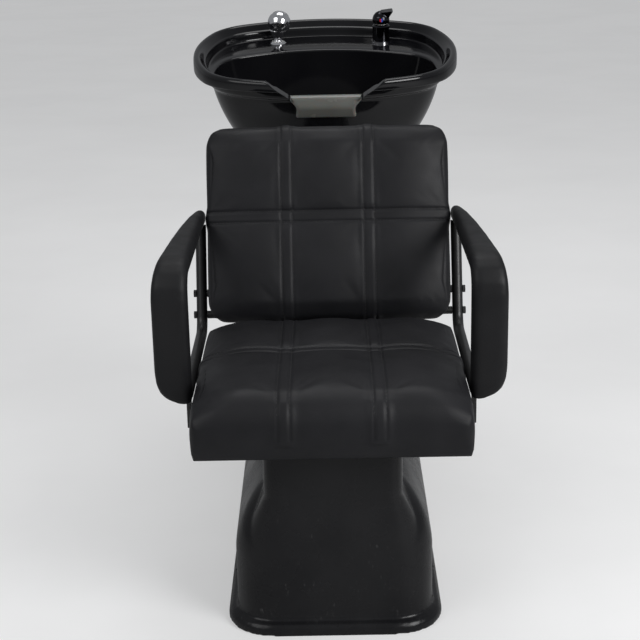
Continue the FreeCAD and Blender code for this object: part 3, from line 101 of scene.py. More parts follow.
BASIN_FLOOR_HALF = Vector((0.120, 0.100))
BASIN_POWER = 1.5
DRAIN_HOLE_RADIUS = 0.025
NOTCH_PLACES = (0.062, 0.069, 0.079, 0.095, 0.110, 0.118, 0.123, 0.130)
NOTCH_LEVELS = (-0.062, -0.045, -0.033, -0.023, -0.013, -0.006, -0.0015, 0.001)
NOTCH_BACK_LEVEL = -0.030
NOTCH_BACK_RUN = 0.028
EDGE_ROUND = 0.005
LONG_ARC_SHARE = 1.7
SIDE_ARC_SHARE = 1.5
CORNER_ARC_SHARE = 0.52

# Materials: colours are linear, scales are per metre and depths in metres
LOW_GLOSS = 0.25
BOWL_GLOSS = 0.38
BLOTCH_RANGE = (0.35, 0.65)
GLOSS_RANGE = (0.3, 0.7)
GLOSS_SCALE_SHARE = 3
GRAIN_DETAIL = 6
GRAIN_STRENGTH = 0.35
CREASE_SCALE = 620
CREASE_DEPTH = 0.0003
CREASE_STRENGTH = 0.4
SCRATCH_SCALE = 6
SCRATCH_DETAIL = 3
SCRATCH_STRETCH = (40, 3, 12)
SCRATCH_RANGE = (0.62, 0.72)
SPOT_SCALE = 30
SPOT_DETAIL = 5
SPOT_RANGE = (0.55, 0.75)
SCUFF_HEIGHTS = (0.05, 0.3)
SCUFF_COLOUR = (0.09, 0.09, 0.09, 1)


def add(made, kind, settings=None, **inputs):
    node = made.node_tree.nodes.new(kind)
    for name, value in (settings or {}).items():
        setattr(node, name, value)
    for name, value in inputs.items():
        node.inputs[name].default_value = value
    return node


def join(made, output, socket):
    made.node_tree.links.new(output, socket)


def place(made, stretch=None):
    """Coordinates in metres, in the object's frame, stretched for grain that runs one way."""
    output = add(made, "ShaderNodeTexCoord").outputs["Object"]
    if stretch is None:
        return output
    mapping = add(made, "ShaderNodeMapping", Scale=stretch)
    join(made, output, mapping.inputs["Vector"])
    return mapping.outputs["Vector"]


def clouds(made, scale, detail=4, stretch=None):
    node = add(made, "ShaderNodeTexNoise", Scale=scale, Detail=detail)
    join(made, place(made, stretch), node.inputs["Vector"])
    return node.outputs[0]


def cells(made, scale):
    node = add(made, "ShaderNodeTexVoronoi", {"feature": "SMOOTH_F1"}, Scale=scale)
    join(made, place(made), node.inputs["Vector"])
    return node.outputs["Distance"]


def ranged(made, value, start, end, low, high):
    names = {"From Min": start, "From Max": end, "To Min": low, "To Max": high}
    node = add(made, "ShaderNodeMapRange", **names)
    join(made, value, node.inputs["Value"])
    return node.outputs["Result"]


def product(made, one, other):
    node = add(made, "ShaderNodeMath", {"operation": "MULTIPLY"})
    join(made, one, node.inputs[0])
    join(made, other, node.inputs[1])
    return node.outputs[0]


def height_share(made, low, high):
    """From 1 at one height to 0 at another."""
    node = add(made, "ShaderNodeSeparateXYZ")
    join(made, place(made), node.inputs["Vector"])
    return ranged(made, node.outputs["Z"], low, high, 1, 0)


def tinted(made, value, low, high):
    """A colour between two, on the shader."""
    node = add(made, "ShaderNodeMix", {"data_type": "RGBA"})
    node.inputs[6].default_value = (*low, 1)
    node.inputs[7].default_value = (*high, 1)
    join(made, value, node.inputs["Factor"])
    return node.outputs[2]


def raised(made, value, distance, strength, under=None):
    node = add(made, "ShaderNodeBump", Distance=distance, Strength=strength)
    join(made, value, node.inputs["Height"])
    if under is not None:
        join(made, under, node.inputs["Normal"])
    return node.outputs["Normal"]


def material(name, metallic=0.0, **sockets):
    made = bpy.data.materials.new(name)
    made.use_nodes = True
    shader = made.node_tree.nodes["Principled BSDF"]
    shader.inputs["Metallic"].default_value = metallic
    for socket, value in sockets.items():
        shader.inputs[socket.replace("_", " ")].default_value = value
    return made, shader


def worn(name, dark, light, rough, blotch, grain, grain_depth, metallic=0.0, **sockets):
    """A surface with blotches of colour, uneven gloss and a fine grain."""
    made, shader = material(name, metallic, **sockets)
    blotches = ranged(made, clouds(made, blotch), *BLOTCH_RANGE, 0, 1)
    join(made, tinted(made, blotches, dark, light), shader.inputs["Base Color"])
    gloss = ranged(made, clouds(made, GLOSS_SCALE_SHARE * blotch), *GLOSS_RANGE, *rough)
    join(made, gloss, shader.inputs["Roughness"])
    grains = raised(made, clouds(made, grain, GRAIN_DETAIL), grain_depth, GRAIN_STRENGTH)
    join(made, grains, shader.inputs["Normal"])
    return made, shader


def creased(made, shader):
    """Fine creases of leather over the grain."""
    grains = shader.inputs["Normal"].links[0].from_socket
    creases = raised(made, cells(made, CREASE_SCALE), CREASE_DEPTH, CREASE_STRENGTH, grains)
    join(made, creases, shader.inputs["Normal"])


def scuffed(made, shader):
    """Pale scratches low down."""
    scratches = clouds(made, SCRATCH_SCALE, SCRATCH_DETAIL, SCRATCH_STRETCH)
    streaks = ranged(made, scratches, *SCRATCH_RANGE, 0, 1)
    spots = ranged(made, clouds(made, SPOT_SCALE, SPOT_DETAIL), *SPOT_RANGE, 0, 1)
    marks = product(made, product(made, streaks, spots), height_share(made, *SCUFF_HEIGHTS))
    base = shader.inputs["Base Color"].links[0].from_socket
    mix = add(made, "ShaderNodeMix", {"data_type": "RGBA"})
    join(made, base, mix.inputs[6])
    mix.inputs[7].default_value = SCUFF_COLOUR
    join(made, marks, mix.inputs["Factor"])
    join(made, mix.outputs[2], shader.inputs["Base Color"])


# colours of the dark and light blotches, roughness, scale of blotches and of grain, depth of grain
FINISHES = {
    "black_leather": ((0.009, 0.009, 0.0105), (0.013, 0.013, 0.015), (0.46, 0.56), 9, 60, 0.0004),
    "base_plastic": ((0.007, 0.007, 0.008), (0.012, 0.012, 0.013), (0.2, 0.32), 7, 90, 0.0003),
    "arm_foam": ((0.007, 0.007, 0.008), (0.012, 0.012, 0.013), (0.44, 0.56), 8, 380, 0.0006),
    "bowl_plastic": ((0.004, 0.004, 0.005), (0.007, 0.007, 0.008), (0.07, 0.13), 6, 40, 0.0001),
    "frame_steel": ((0.010, 0.010, 0.010), (0.018, 0.018, 0.018), (0.32, 0.42), 20, 500, 0.0002),
    "covered_board": ((0.010, 0.010, 0.011), (0.018, 0.018, 0.019), (0.45, 0.6), 12, 700, 0.0004),
    "zinc_steel": ((0.45, 0.45, 0.46), (0.6, 0.6, 0.61), (0.28, 0.42), 60, 900, 0.0001),
    "chrome": ((0.72, 0.72, 0.74), (0.8, 0.8, 0.82), (0.05, 0.1), 40, 200, 0.00003),
    "dark_chrome": ((0.03, 0.03, 0.035), (0.06, 0.06, 0.065), (0.08, 0.14), 40, 200, 0.00003),
    "silicone": ((0.13, 0.132, 0.12), (0.15, 0.152, 0.14), (0.2, 0.28), 9, 160, 0.00005),
    "rubber": ((0.012, 0.012, 0.012), (0.022, 0.022, 0.022), (0.55, 0.7), 30, 600, 0.0004),
    "white_plastic": ((0.6, 0.6, 0.58), (0.7, 0.7, 0.68), (0.35, 0.5), 30, 400, 0.0002),
    "brass": ((0.62, 0.46, 0.2), (0.72, 0.55, 0.26), (0.2, 0.34), 50, 500, 0.0001),
    "nozzle_plastic": ((0.2, 0.2, 0.21), (0.28, 0.28, 0.29), (0.4, 0.55), 60, 700, 0.0002),
    "red_mark": ((0.55, 0.015, 0.02), (0.68, 0.03, 0.035), (0.15, 0.25), 120, 900, 0.0001),
    "blue_mark": ((0.03, 0.12, 0.6), (0.05, 0.18, 0.72), (0.15, 0.25), 120, 900, 0.0001),
    "thread": ((0.014, 0.014, 0.015), (0.03, 0.03, 0.031), (0.5, 0.65), 200, 1500, 0.0003),
}
METALS = ("zinc_steel", "chrome", "dark_chrome", "brass")
TOUCHES = {"black_leather": creased, "base_plastic": scuffed}
SHADER_VALUES = {
    "black_leather": {"Specular_IOR_Level": LOW_GLOSS},
    "base_plastic": {"Specular_IOR_Level": LOW_GLOSS},
    "arm_foam": {"Specular_IOR_Level": LOW_GLOSS},
    "bowl_plastic": {"Specular_IOR_Level": BOWL_GLOSS},
    "silicone": {"Subsurface_Weight": 0.3, "Subsurface_Scale": 0.02},
}
SLOT_MATERIALS = {}
for slot, finish in FINISHES.items():
    paint, shader = worn(slot, *finish, float(slot in METALS), **SHADER_VALUES.get(slot, {}))
    if slot in TOUCHES:
        TOUCHES[slot](paint, shader)
    SLOT_MATERIALS[slot] = paint
NODE_SLOTS = {part["node"]: part["material_slot"] for part in frame["record"]["subparts"]}
for name, item in nodes.items():
    item.data.materials.clear()
    item.data.materials.append(SLOT_MATERIALS[NODE_SLOTS[name]])

# Mesh helpers


def shown(name, mesh):
    made = bpy.data.objects.new(name, mesh)
    scene.collection.objects.link(made)
    return made


def applied(item):
    """The item's mesh with its modifiers, in place of the item."""
    bpy.context.view_layer.update()
    evaluated = item.evaluated_get(bpy.context.evaluated_depsgraph_get())
    mesh = bpy.data.meshes.new_from_object(evaluated)
    bpy.data.objects.remove(item)
    return mesh


def smoothed(mesh):
    mesh.polygons.foreach_set("use_smooth", [True] * len(mesh.polygons))
    mesh.update()
    return mesh


def finished(name, mesh, body, slot, *replaced, made=None):
    """A piece in its place, on its body, with its slot's material."""
    item = shown(name, smoothed(mesh))
    item.data.materials.clear()
    item.data.materials.append(made or SLOT_MATERIALS[slot])
    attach(item, body)
    if replaced:
        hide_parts(*replaced)
    return item


def mesh_of(vertices, faces):
    mesh = bpy.data.meshes.new("form")
    mesh.from_pydata(vertices, [], faces)
    return mesh


def lofted(rings, around=False):
    """A skin over rings of points; closed round on itself, or else with a lid on each end."""
    count = len(rings[0])
    vertices = [point for ring in rings for point in ring]
    steps = len(rings) if around else len(rings) - 1
    faces = []
    for step in range(steps):
        low = step * count
        high = (step + 1) % len(rings) * count
        for index in range(count):
            after = (index + 1) % count
            faces.append((low + index, low + after, high + after, high + index))
    if not around:
        faces.append(tuple(reversed(range(count))))
        faces.append(tuple((len(rings) - 1) * count + index for index in range(count)))
    return mesh_of(vertices, faces)


def remeshed(mesh, voxel, rounds):
    item = shown("remeshed", mesh)
    remesh = item.modifiers.new("remesh", "REMESH")
    remesh.mode = "VOXEL"
    remesh.voxel_size = voxel
    smooth = item.modifiers.new("smooth", "SMOOTH")
    smooth.iterations = rounds
    return applied(item)


def carved(mesh, *tools):
    """The mesh less the tools."""
    item = shown("carved", mesh)
    helpers = [shown("tool", tool) for tool in tools]
    for helper in helpers:
        cut = item.modifiers.new("cut", "BOOLEAN")
        cut.solver = "MANIFOLD"
        cut.object = helper
    made = applied(item)
    for helper in helpers:
        bpy.data.objects.remove(helper)
    return made


def softened(node, voxel, rounds):
    """A copy of a node with its edges rounded."""
    return remeshed(nodes[node].data.copy(), voxel, rounds)


def rod(radius, low, high, centre, sides=32):
    """A tool for upright round holes."""
    turns = [2 * math.pi * step / sides for step in range(sides)]
    rings = [[centre + Vector((radius * math.cos(turn), radius * math.sin(turn), level)) for turn in turns]
             for level in (low, high)]
    return lofted(rings)


# Moulded base: domed body, front column and rear pedestal run into one skin
CORNER_STEPS = 10
OVERRUN = 0.02
BASE_VOXEL = 0.004
BASE_ROUNDS = 3
HOLLOW_VOXEL = 0.006
HOLLOW_ROUNDS = 4
base_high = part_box("base_shell")[1]
flange_half = Vector((base_high.x, base_high.y))
body_half = flange_half - Vector((BODY_INSET, BODY_INSET))
column_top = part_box("seat_plate")[0].z
rear_top = base_high.z
rear_face = body_half.y + REAR_STEP
post_middle = next(joint for joint in frame["joints"] if joint["name"] == "bowl_tilt")["pos_m"][1]


def rectangle(half_width, front, rear, corner, level):
    """A level ring: a rectangle with round corners."""
    right = half_width - corner
    corners = ((right, rear - corner, 0), (-right, rear - corner, 90), (-right, front + corner, 180),
               (right, front + corner, 270))
    ring = []
    for x, y, start in corners:
        for step in range(CORNER_STEPS + 1):
            angle = math.radians(start + 90 * step / CORNER_STEPS)
            ring.append(Vector((x + corner * math.cos(angle), y + corner * math.sin(angle), level)))
    return ring


def levels(low, high, count):
    return [low + (high - low) * step / count for step in range(count + 1)]


def dome_share(level):
    rise = max(0, level - STRAIGHT_HEIGHT) / DOME_RISE
    return max(0, 1 - rise ** DOME_POWER) ** (1 / DOME_POWER)


def dome(inset, bottom):
    top = STRAIGHT_HEIGHT + DOME_TOP_SHARE * DOME_RISE
    rings = []
    for level in [bottom] + levels(STRAIGHT_HEIGHT - inset, top - inset, DOME_STEPS):
        share = dome_share(level + inset)
        width = body_half.x * share - inset
        reach = body_half.y - DOME_SETBACK * (1 - share) - inset
        rings.append(rectangle(width, -reach, reach, min(BODY_CORNER, width) * share - inset, level))
    return lofted(rings)


def column(inset, bottom):
    front = inset - body_half.y
    rear = COLUMN_DEPTH - inset - body_half.y
    slim = COLUMN_WIDTH / 2 - inset
    rings = []
    for level, width, corner in ((bottom, body_half.x - inset, BODY_CORNER - inset),
                                 (STRAIGHT_HEIGHT, body_half.x - inset, BODY_CORNER - inset),
                                 (FLARE_HEIGHT, slim, COLUMN_CORNER - inset),
                                 (column_top - inset, slim, COLUMN_CORNER - inset)):
        rings.append(rectangle(width, front, rear, corner, level))
    return lofted(rings)


def pedestal(inset, bottom):
    rings = []
    for level, size in ((bottom, REAR_BASE), (STRAIGHT_HEIGHT, REAR_BASE), (rear_top - inset, REAR_TOP)):
        rings.append(rectangle(size.x / 2 - inset, rear_face - size.y + inset, rear_face - inset,
                               REAR_CORNER - inset, level))
    return lofted(rings)


def together(*meshes):
    joined = bmesh.new()
    for mesh in meshes:
        joined.from_mesh(mesh)
    made = bpy.data.meshes.new("together")
    joined.to_mesh(made)
    joined.free()
    return made


def plate(half, corner, low, high):
    return lofted([rectangle(half.x, -half.y, half.y, corner, level) for level in (low, high)])


def base_mesh():
    bead_half = flange_half - Vector((BEAD_INSET, BEAD_INSET))
    lip = plate(flange_half, FLANGE_CORNER, 0, FLANGE_LIP)
    bead = plate(bead_half, FLANGE_CORNER - BEAD_INSET, FLANGE_LIP / 2, FLANGE_LIP + FLANGE_BEAD)
    bottom = FLANGE_LIP / 2
    solid = together(lip, bead, dome(0, bottom), column(0, bottom), pedestal(0, bottom))
    outer = remeshed(solid, BASE_VOXEL, BASE_ROUNDS)
    below = -OVERRUN
    hollow = together(dome(SHELL_WALL, below), column(SHELL_WALL, below), pedestal(SHELL_WALL, below))
    inner = remeshed(hollow, HOLLOW_VOXEL, HOLLOW_ROUNDS)
    bolts = next(mount for mount in frame["record"]["mounts"] if mount["name"] == "floor_bolts")["dims"]
    hole_radius = bolts["hole_r_mm"] / 1000
    holes = [rod(hole_radius, below, FLANGE_LIP + FLANGE_BEAD + OVERRUN,
                 Vector((side * bolts["spacing_x_mm"] / 2000, end * bolts["spacing_y_mm"] / 2000, 0)))
             for side in (-1, 1) for end in (-1, 1)]
    port_y = (post_middle + POST_ROOM_HALF.y + rear_face - SHELL_WALL) / 2
    holes.append(rod(HOSE_PORT_RADIUS, rear_top - 2 * OVERRUN, rear_top + OVERRUN, Vector((0, port_y, 0))))
    post_room = plate(POST_ROOM_HALF, POST_ROOM_CORNER, rear_top - 2 * OVERRUN, rear_top + OVERRUN)
    post_room.transform(Matrix.Translation((0, post_middle, 0)))
    return carved(outer, inner, post_room, *holes)


finished("base_skin", base_mesh(), "chair", "base_plastic", "base_shell")


# Cushions: foam under sewn leather, blown up between the seams
SEAM_LINES = (-SEAM_PITCH / 2 - SEAM_STRIP / 2, -SEAM_PITCH / 2 + SEAM_STRIP / 2,
              SEAM_PITCH / 2 - SEAM_STRIP / 2, SEAM_PITCH / 2 + SEAM_STRIP / 2)
SHRINK = 0.004
SWELL_CAP = 0.0035
SEAM_DEPTH = 0.0022
SEAM_SPREAD = 0.0026
HELD_GAP = 0.003
SEAM_MARGIN = 0.012
BOARD_GRIP = 0.012
SEAT_CORNER = 0.025
BACK_CORNER = 0.046
SEAT_ROLL = 0.075
BACK_ROLL = 0.028
BOX_SHARE = 0.78
BOX_DEPTH = 0.0018
SIDEWAYS = 0.5
SIM_FRAMES = 20
SIM_PRESSURE = 4
SIM_QUALITY = 4
CUSHION_VOXEL = 0.005
CUSHION_ROUNDS = 3
LEATHER_ROUNDS = 5


def rows(mesh):
    """The mesh's points and normals, one to a row."""
    points = np.empty(3 * len(mesh.vertices), np.float32)
    normals = np.empty_like(points)
    mesh.vertices.foreach_get("co", points)
    mesh.vertex_normals.foreach_get("vector", normals)
    return points.reshape(-1, 3), normals.reshape(-1, 3)


def moved(mesh, points):
    mesh.vertices.foreach_set("co", points.astype(np.float32).ravel())
    mesh.update()
    return mesh


class Panel:
    """A cushion's sewn face: places across it, along it and out from its board."""

    def __init__(self, foot, along, out, size, seam_share, corner, roll):
        self.foot = np.array(foot)
        self.turn = np.array([(1, 0, 0), along, out]).T
        self.half_width = size[0] / 2
        self.length = size[1]
        self.thickness = size[2]
        self.seam = self.length * seam_share
        self.corner = corner
        self.roll = roll

    def places(self, points):
        return (points - self.foot) @ self.turn

    def points(self, places):
        return places @ self.turn.T + self.foot

    def spot(self, across, along, out):
        return Vector(self.points(np.array((across, along, out))))

    def seam_gaps(self, across, along):
        """How far places are from each sewn line."""
        gaps = [across - line for line in SEAM_LINES]
        gaps += [along - self.seam + side * SEAM_STRIP / 2 for side in (-1, 1)]
        return np.abs(np.stack(gaps))

    def strip_share(self, across, along):
        """1 on the strips between the sewn lines, falling to 0 beside them."""
        gap = np.minimum(np.abs(np.abs(across) - SEAM_PITCH / 2), np.abs(along - self.seam))
        return np.clip(2 - 2 * gap / SEAM_STRIP, 0, 1)

    def rounded(self, places):
        """Places with the face's corners drawn in and its front end rolled over."""
        half = np.array((self.half_width, self.length / 2))
        places[:, :2] = drawn_in(places[:, :2], half - self.corner, self.corner, (0, self.length / 2))
        ahead = places[:, 1] < self.roll
        middle = (self.roll, self.thickness - self.roll)
        above = ahead & (places[:, 2] > middle[1])
        places[above, 1:] = drawn_in(places[above, 1:], 0, self.roll, middle)
        return places


def drawn_in(places, inner, radius, middle):
    """Places of a plane that lie past a round corner, brought back to it."""
    off = places - np.array(middle)
    past = np.maximum(np.abs(off) - inner, 0)
    reach = np.linalg.norm(past, axis=1, keepdims=True)
    drawn = past * np.minimum(1, radius / np.maximum(reach, radius))
    return places + np.sign(off) * (drawn - past)


def swollen(mesh, held):
    """Pressed out by its filling; held lists the points that the seams and the board keep."""
    start, normals = rows(mesh)
    item = shown("swelling", mesh)
    group = item.vertex_groups.new(name="held")
    group.add(held, 1.0, "REPLACE")
    cloth = item.modifiers.new("cloth", "CLOTH")
    cloth.settings.vertex_group_mass = group.name
    cloth.settings.use_pressure = True
    cloth.settings.uniform_pressure_force = SIM_PRESSURE
    cloth.settings.effector_weights.gravity = 0
    cloth.settings.quality = SIM_QUALITY
    cloth.collision_settings.use_collision = False
    for step in range(1, SIM_FRAMES + 1):
        scene.frame_set(step)
    made = applied(item)
    scene.frame_set(1)
    points, normals = rows(made)
    moves = points - start
    reach = np.linalg.norm(moves, axis=1, keepdims=True)
    return moved(made, start + moves * np.minimum(1, SWELL_CAP / np.maximum(reach, SWELL_CAP)))


def smooth_skin(mesh, rounds):
    """The mesh smoothed and made finer once."""
    item = shown("smoothing", mesh)
    smooth = item.modifiers.new("smooth", "SMOOTH")
    smooth.iterations = rounds
    finer = item.modifiers.new("finer", "SUBSURF")
    finer.levels = 1
    finer.render_levels = 1
    return applied(item)


def cushion_mesh(node, panel):
    mesh = softened(node, CUSHION_VOXEL, CUSHION_ROUNDS)
    points, normals = rows(mesh)
    places = panel.rounded(panel.places(points))
    across, along, out = places.T
    inside = SHRINK * (1 - panel.strip_share(across, along) * (out > BOARD_GRIP))
    moved(mesh, panel.points(places) - normals * inside[:, None])
    sewn_here = panel.seam_gaps(across, along).min(axis=0) < HELD_GAP
    kept = (out < BOARD_GRIP) | (sewn_here & (np.abs(across) < panel.half_width - SEAM_MARGIN))
    mesh = swollen(mesh, np.flatnonzero(kept).tolist())
    mesh = smooth_skin(mesh, LEATHER_ROUNDS)
    points, normals = rows(mesh)
    across, along, out = panel.places(points).T
    grooves = np.exp(-(panel.seam_gaps(across, along) / SEAM_SPREAD) ** 2).sum(axis=0)
    depth = SEAM_DEPTH * np.minimum(grooves, 1) * (out > 2 * BOARD_GRIP)
    edge = np.exp(-((out - BOX_SHARE * panel.thickness) / SEAM_SPREAD) ** 2)
    depth += BOX_DEPTH * edge * (np.abs(normals[:, 0]) > SIDEWAYS)
    return moved(mesh, points - normals * depth[:, None])


STITCH_PITCH = 0.0065
STITCH_LENGTH = 0.0045
STITCH_RADIUS = 0.0005
STITCH_SIDES = 6
STITCH_SHARES = ((0, 0.3), (0.25, 1), (0.75, 1), (1, 0.3))
STITCH_REACH = 0.3


def stitch(spot, normal, heading):
    """Rings of points of one stitch, lying along its heading."""
    heading = (heading - normal * heading.dot(normal)).normalized()
    side = heading.cross(normal)
    rings = []
    for share, thick in STITCH_SHARES:
        middle = spot + heading * STITCH_LENGTH * (share - 0.5) + normal * STITCH_RADIUS / 2
        ring = []
        for turn in range(STITCH_SIDES):
            angle = 2 * math.pi * turn / STITCH_SIDES
            out = side * math.cos(angle) + normal * math.sin(angle)
            ring.append(middle + out * STITCH_RADIUS * thick)
        rings.append(ring)
    return rings


def sewn(name, cushion, panel):
    """Stitches lying in the grooves of a cushion's seams."""
    tree = BVHTree.FromPolygons([vertex.co for vertex in cushion.vertices],
                                [polygon.vertices for polygon in cushion.polygons])
    along_steps = np.arange(SEAM_MARGIN, panel.length - SEAM_MARGIN, STITCH_PITCH)
    across_steps = np.arange(SEAM_MARGIN, 2 * panel.half_width - SEAM_MARGIN, STITCH_PITCH)
    across_steps -= panel.half_width
    runs = [(line, along, (0, 1, 0)) for line in SEAM_LINES for along in along_steps]
    runs += [(across, panel.seam + side * SEAM_STRIP / 2, (1, 0, 0))
             for side in (-1, 1) for across in across_steps]
    stitches = []
    for across, along, heading in runs:
        top = panel.spot(across, along, STITCH_REACH)
        spot, normal, index, reach = tree.ray_cast(top, Vector(-panel.turn[:, 2]))
        if spot is not None:
            stitches.append(lofted(stitch(spot, normal, Vector(panel.turn @ np.array(heading)))))
    return finished(name, together(*stitches), "chair", "black_leather", made=SLOT_MATERIALS["thread"])


seat_low, seat_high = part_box("seat_cushion")
board_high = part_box("seat_board")[1]
back_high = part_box("back_cushion")[1]
back_turn = Matrix.Rotation(-BACK_RECLINE, 3, "X")
back_foot = Vector((0, seat_high.y + BACK_GAP, board_high.z + SEAT_REAR_HEIGHT))
seat_size = (2 * seat_high.x, seat_high.y - seat_low.y, seat_high.z - board_high.z)
back_size = (2 * back_high.x, BACK_LENGTH, BACK_FOAM)
PANELS = {
    "seat": Panel((0, seat_low.y, board_high.z), (0, 1, 0), (0, 0, 1), seat_size, SEAT_SEAM_SHARE,
                  SEAT_CORNER, SEAT_ROLL),
    "back": Panel(back_foot + back_turn @ Vector((0, BACK_FOAM, 0)), back_turn @ Vector((0, 0, 1)),
                  back_turn @ Vector((0, -1, 0)), back_size, BACK_SEAM_SHARE, BACK_CORNER, BACK_ROLL),
}
for part, panel in PANELS.items():
    skin = finished(f"{part}_cushion_skin", cushion_mesh(f"{part}_cushion", panel), "chair",
                    "black_leather", f"{part}_cushion")
    sewn(f"{part}_stitches", skin.data, panel)

# Bowl: one skin of rings from the drain hole up over the rim and back under to the hole
BOWL_TURN = Matrix.Translation(BOWL_CENTRE) @ Matrix.Rotation(BOWL_TILT, 4, "X")
ARC_STEPS = (48, 14, 12)
MERGE_GAP = 0.0003
UNDER_SHARE = 0.06
BASIN_SHARES = (1, 0.997, 0.985, 0.96, 0.92, 0.86, 0.78, 0.68, 0.57, 0.46, 0.35, 0.25, 0.16, 0.09)
# share of the depth, offset and lift, over the basin's edge
EDGE_PROFILE = ((0.03, 0, 0), (0, 0, -0.003), (0, 0.0015, -0.0008), (0, EDGE_ROUND, 0))
# inset from the rim's edge and level, from the deck up over the terrace and the rolled edge
RIM_PROFILE = ((0.034, -0.036), (0.031, -0.035), (0.030, -0.031), (0.0285, -0.019), (0.0275, -0.016),
               (0.0255, -0.015), (0.0245, -0.0148), (0.0228, -0.0135), (0.0165, -0.005), (0.0135, -0.0015),
               (0.0105, -0.0002), (0.0075, 0), (0.0045, -0.0008), (0.0018, -0.003), (0.0003, -0.0068))
# inset, share of the skirt's depth and lift, down its outside and up behind it
SKIRT_PROFILE = ((0, 0.5, 0), (0, 1, 0.004), (0.001, 1, 0.001), (0.003, 1, 0), (0.006, 1, 0.002),
                 (0.0065, 1, 0.006), (0.009, 0.5, 0.001), (0.016, 0.5, 0))
# inset and level, down the tray's outside
TRAY_PROFILE = ((0.0175, -0.030), (0.0195, -0.039), (0.0235, -0.0445))
basin_rear = BOWL_HALF.y - RIM_LAND - TERRACE_STEP - DECK_WIDTH
basin_front = RIM_LAND + TERRACE_STEP + BASIN_FRONT_LEDGE - BOWL_HALF.y
basin_half = Vector((BOWL_HALF.x - RIM_LAND - TERRACE_STEP - BASIN_LEDGE, (basin_rear - basin_front) / 2))


def arc_points(centre, radius, start, end, steps):
    angles = [start + (end - start) * step / steps for step in range(steps)]
    return [centre + Vector((math.cos(angle), math.sin(angle))) * radius for angle in angles]


def quarter(half):
    """From the middle of the rear to the middle of the right side: a long arc, a corner and a side arc."""
    long_radius = LONG_ARC_SHARE * half.x
    side_radius = SIDE_ARC_SHARE * half.y
    corner = CORNER_ARC_SHARE * min(half)
    from_long = Vector((0, half.y - long_radius))
    from_side = Vector((half.x - side_radius, 0))
    gap = from_side - from_long
    near = long_radius - corner
    far = side_radius - corner
    along = (near ** 2 - far ** 2 + gap.length_squared) / (2 * gap.length)
    unit = gap.normalized()
    centre = from_long + unit * along + Vector((unit.y, -unit.x)) * math.sqrt(near ** 2 - along ** 2)
    first = math.atan2(*reversed(centre - from_long))
    second = math.atan2(*reversed(centre - from_side))
    points = arc_points(from_long, long_radius, math.pi / 2, first, ARC_STEPS[0])
    points += arc_points(centre, corner, first, second, ARC_STEPS[1])
    return points + arc_points(from_side, side_radius, second, 0, ARC_STEPS[2])


def oval(half, middle, level):
    right = quarter(half)
    end = Vector((half.x, 0))
    points = right + [end] + [Vector((x, -y)) for x, y in reversed(right[1:])]
    points += [Vector((0, -half.y))] + [Vector((-x, -y)) for x, y in right[1:]]
    points += [Vector((-half.x, 0))] + [Vector((-x, y)) for x, y in reversed(right[1:])]
    return [Vector((x, y + middle, level)) for x, y in points]


def rim(inset, level):
    return oval(BOWL_HALF - Vector((inset, inset)), 0, level)


def basin(share, offset, lift=0.0):
    width_share = max(0, 1 - share ** BASIN_POWER) ** (1 / BASIN_POWER)
    half = BASIN_FLOOR_HALF.lerp(basin_half, width_share) + Vector((offset, offset))
    depth = BASIN_DROP - BOWL_WALL + max(offset, 0) - DECK_DROP
    return oval(half, (basin_rear + basin_front) / 2 * width_share, lift - DECK_DROP - share * depth)


def drain_ring(radius, level):
    return [Vector((point.x, point.y, 0)).normalized() * radius + Vector((0, 0, level))
            for point in oval(BASIN_FLOOR_HALF, 0, 0)]


def skirt_depth(along):
    """How far the rim's skirt hangs at a place from front to rear."""
    share = (along + BOWL_HALF.y) / (2 * BOWL_HALF.y)
    return RIM_FRONT_SKIRT + (RIM_SKIRT - RIM_FRONT_SKIRT) * share


def skirt(inset, share, lift):
    """A ring on the skirt, at a share of its depth."""
    ring = rim(inset, 0)
    for point in ring:
        point.z = lift - share * skirt_depth(point.y)
    return ring


def eased(share):
    share = min(max(share, 0), 1)
    return share * share * (3 - 2 * share)


def notched(point):
    """A point of the front brought down to the notch for the neck, and back to the basin's wall."""
    top = np.interp(abs(point.x), NOTCH_PLACES, NOTCH_LEVELS)
    if point.y > 0 or abs(point.x) > NOTCH_PLACES[-1] or point.z <= top:
        return point
    wall_half = basin_half + Vector((BOWL_WALL, BOWL_WALL))
    long_radius = LONG_ARC_SHARE * wall_half.x
    reach = wall_half.y - long_radius + math.sqrt(long_radius ** 2 - point.x ** 2)
    back = max(0, (basin_rear + basin_front) / 2 - reach - point.y)
    return Vector((point.x, point.y + back * eased((NOTCH_BACK_LEVEL - top) / NOTCH_BACK_RUN), top))


def bowl_mesh():
    floor = BOWL_WALL - BASIN_DROP
    rings = [drain_ring(DRAIN_HOLE_RADIUS, floor), drain_ring(2 * DRAIN_HOLE_RADIUS, floor)]
    rings += [basin(share, 0) for share in BASIN_SHARES]
    rings += [basin(*place) for place in EDGE_PROFILE]
    rings += [rim(inset, level) for inset, level in RIM_PROFILE]
    rings += [skirt(*place) for place in SKIRT_PROFILE]
    rings += [rim(inset, level) for inset, level in TRAY_PROFILE]
    rings += [basin(UNDER_SHARE, BOWL_WALL)]
    rings += [basin(share, BOWL_WALL) for share in reversed(BASIN_SHARES)]
    rings += [drain_ring(2 * DRAIN_HOLE_RADIUS, -BASIN_DROP), drain_ring(DRAIN_HOLE_RADIUS, -BASIN_DROP)]
    rings = [[notched(point) for point in ring] for ring in rings]
    skin = bmesh.new()
    skin.from_mesh(lofted(rings, around=True))
    bmesh.ops.remove_doubles(skin, verts=skin.verts, dist=MERGE_GAP)
    bmesh.ops.recalc_face_normals(skin, faces=skin.faces)
    made = bpy.data.meshes.new("bowl")
    skin.to_mesh(made)
    skin.free()
    made.transform(BOWL_TURN)
    return smooth_skin(made, 0)


finished("bowl_skin", bowl_mesh(), "bowl_unit", "bowl_plastic", "bowl")

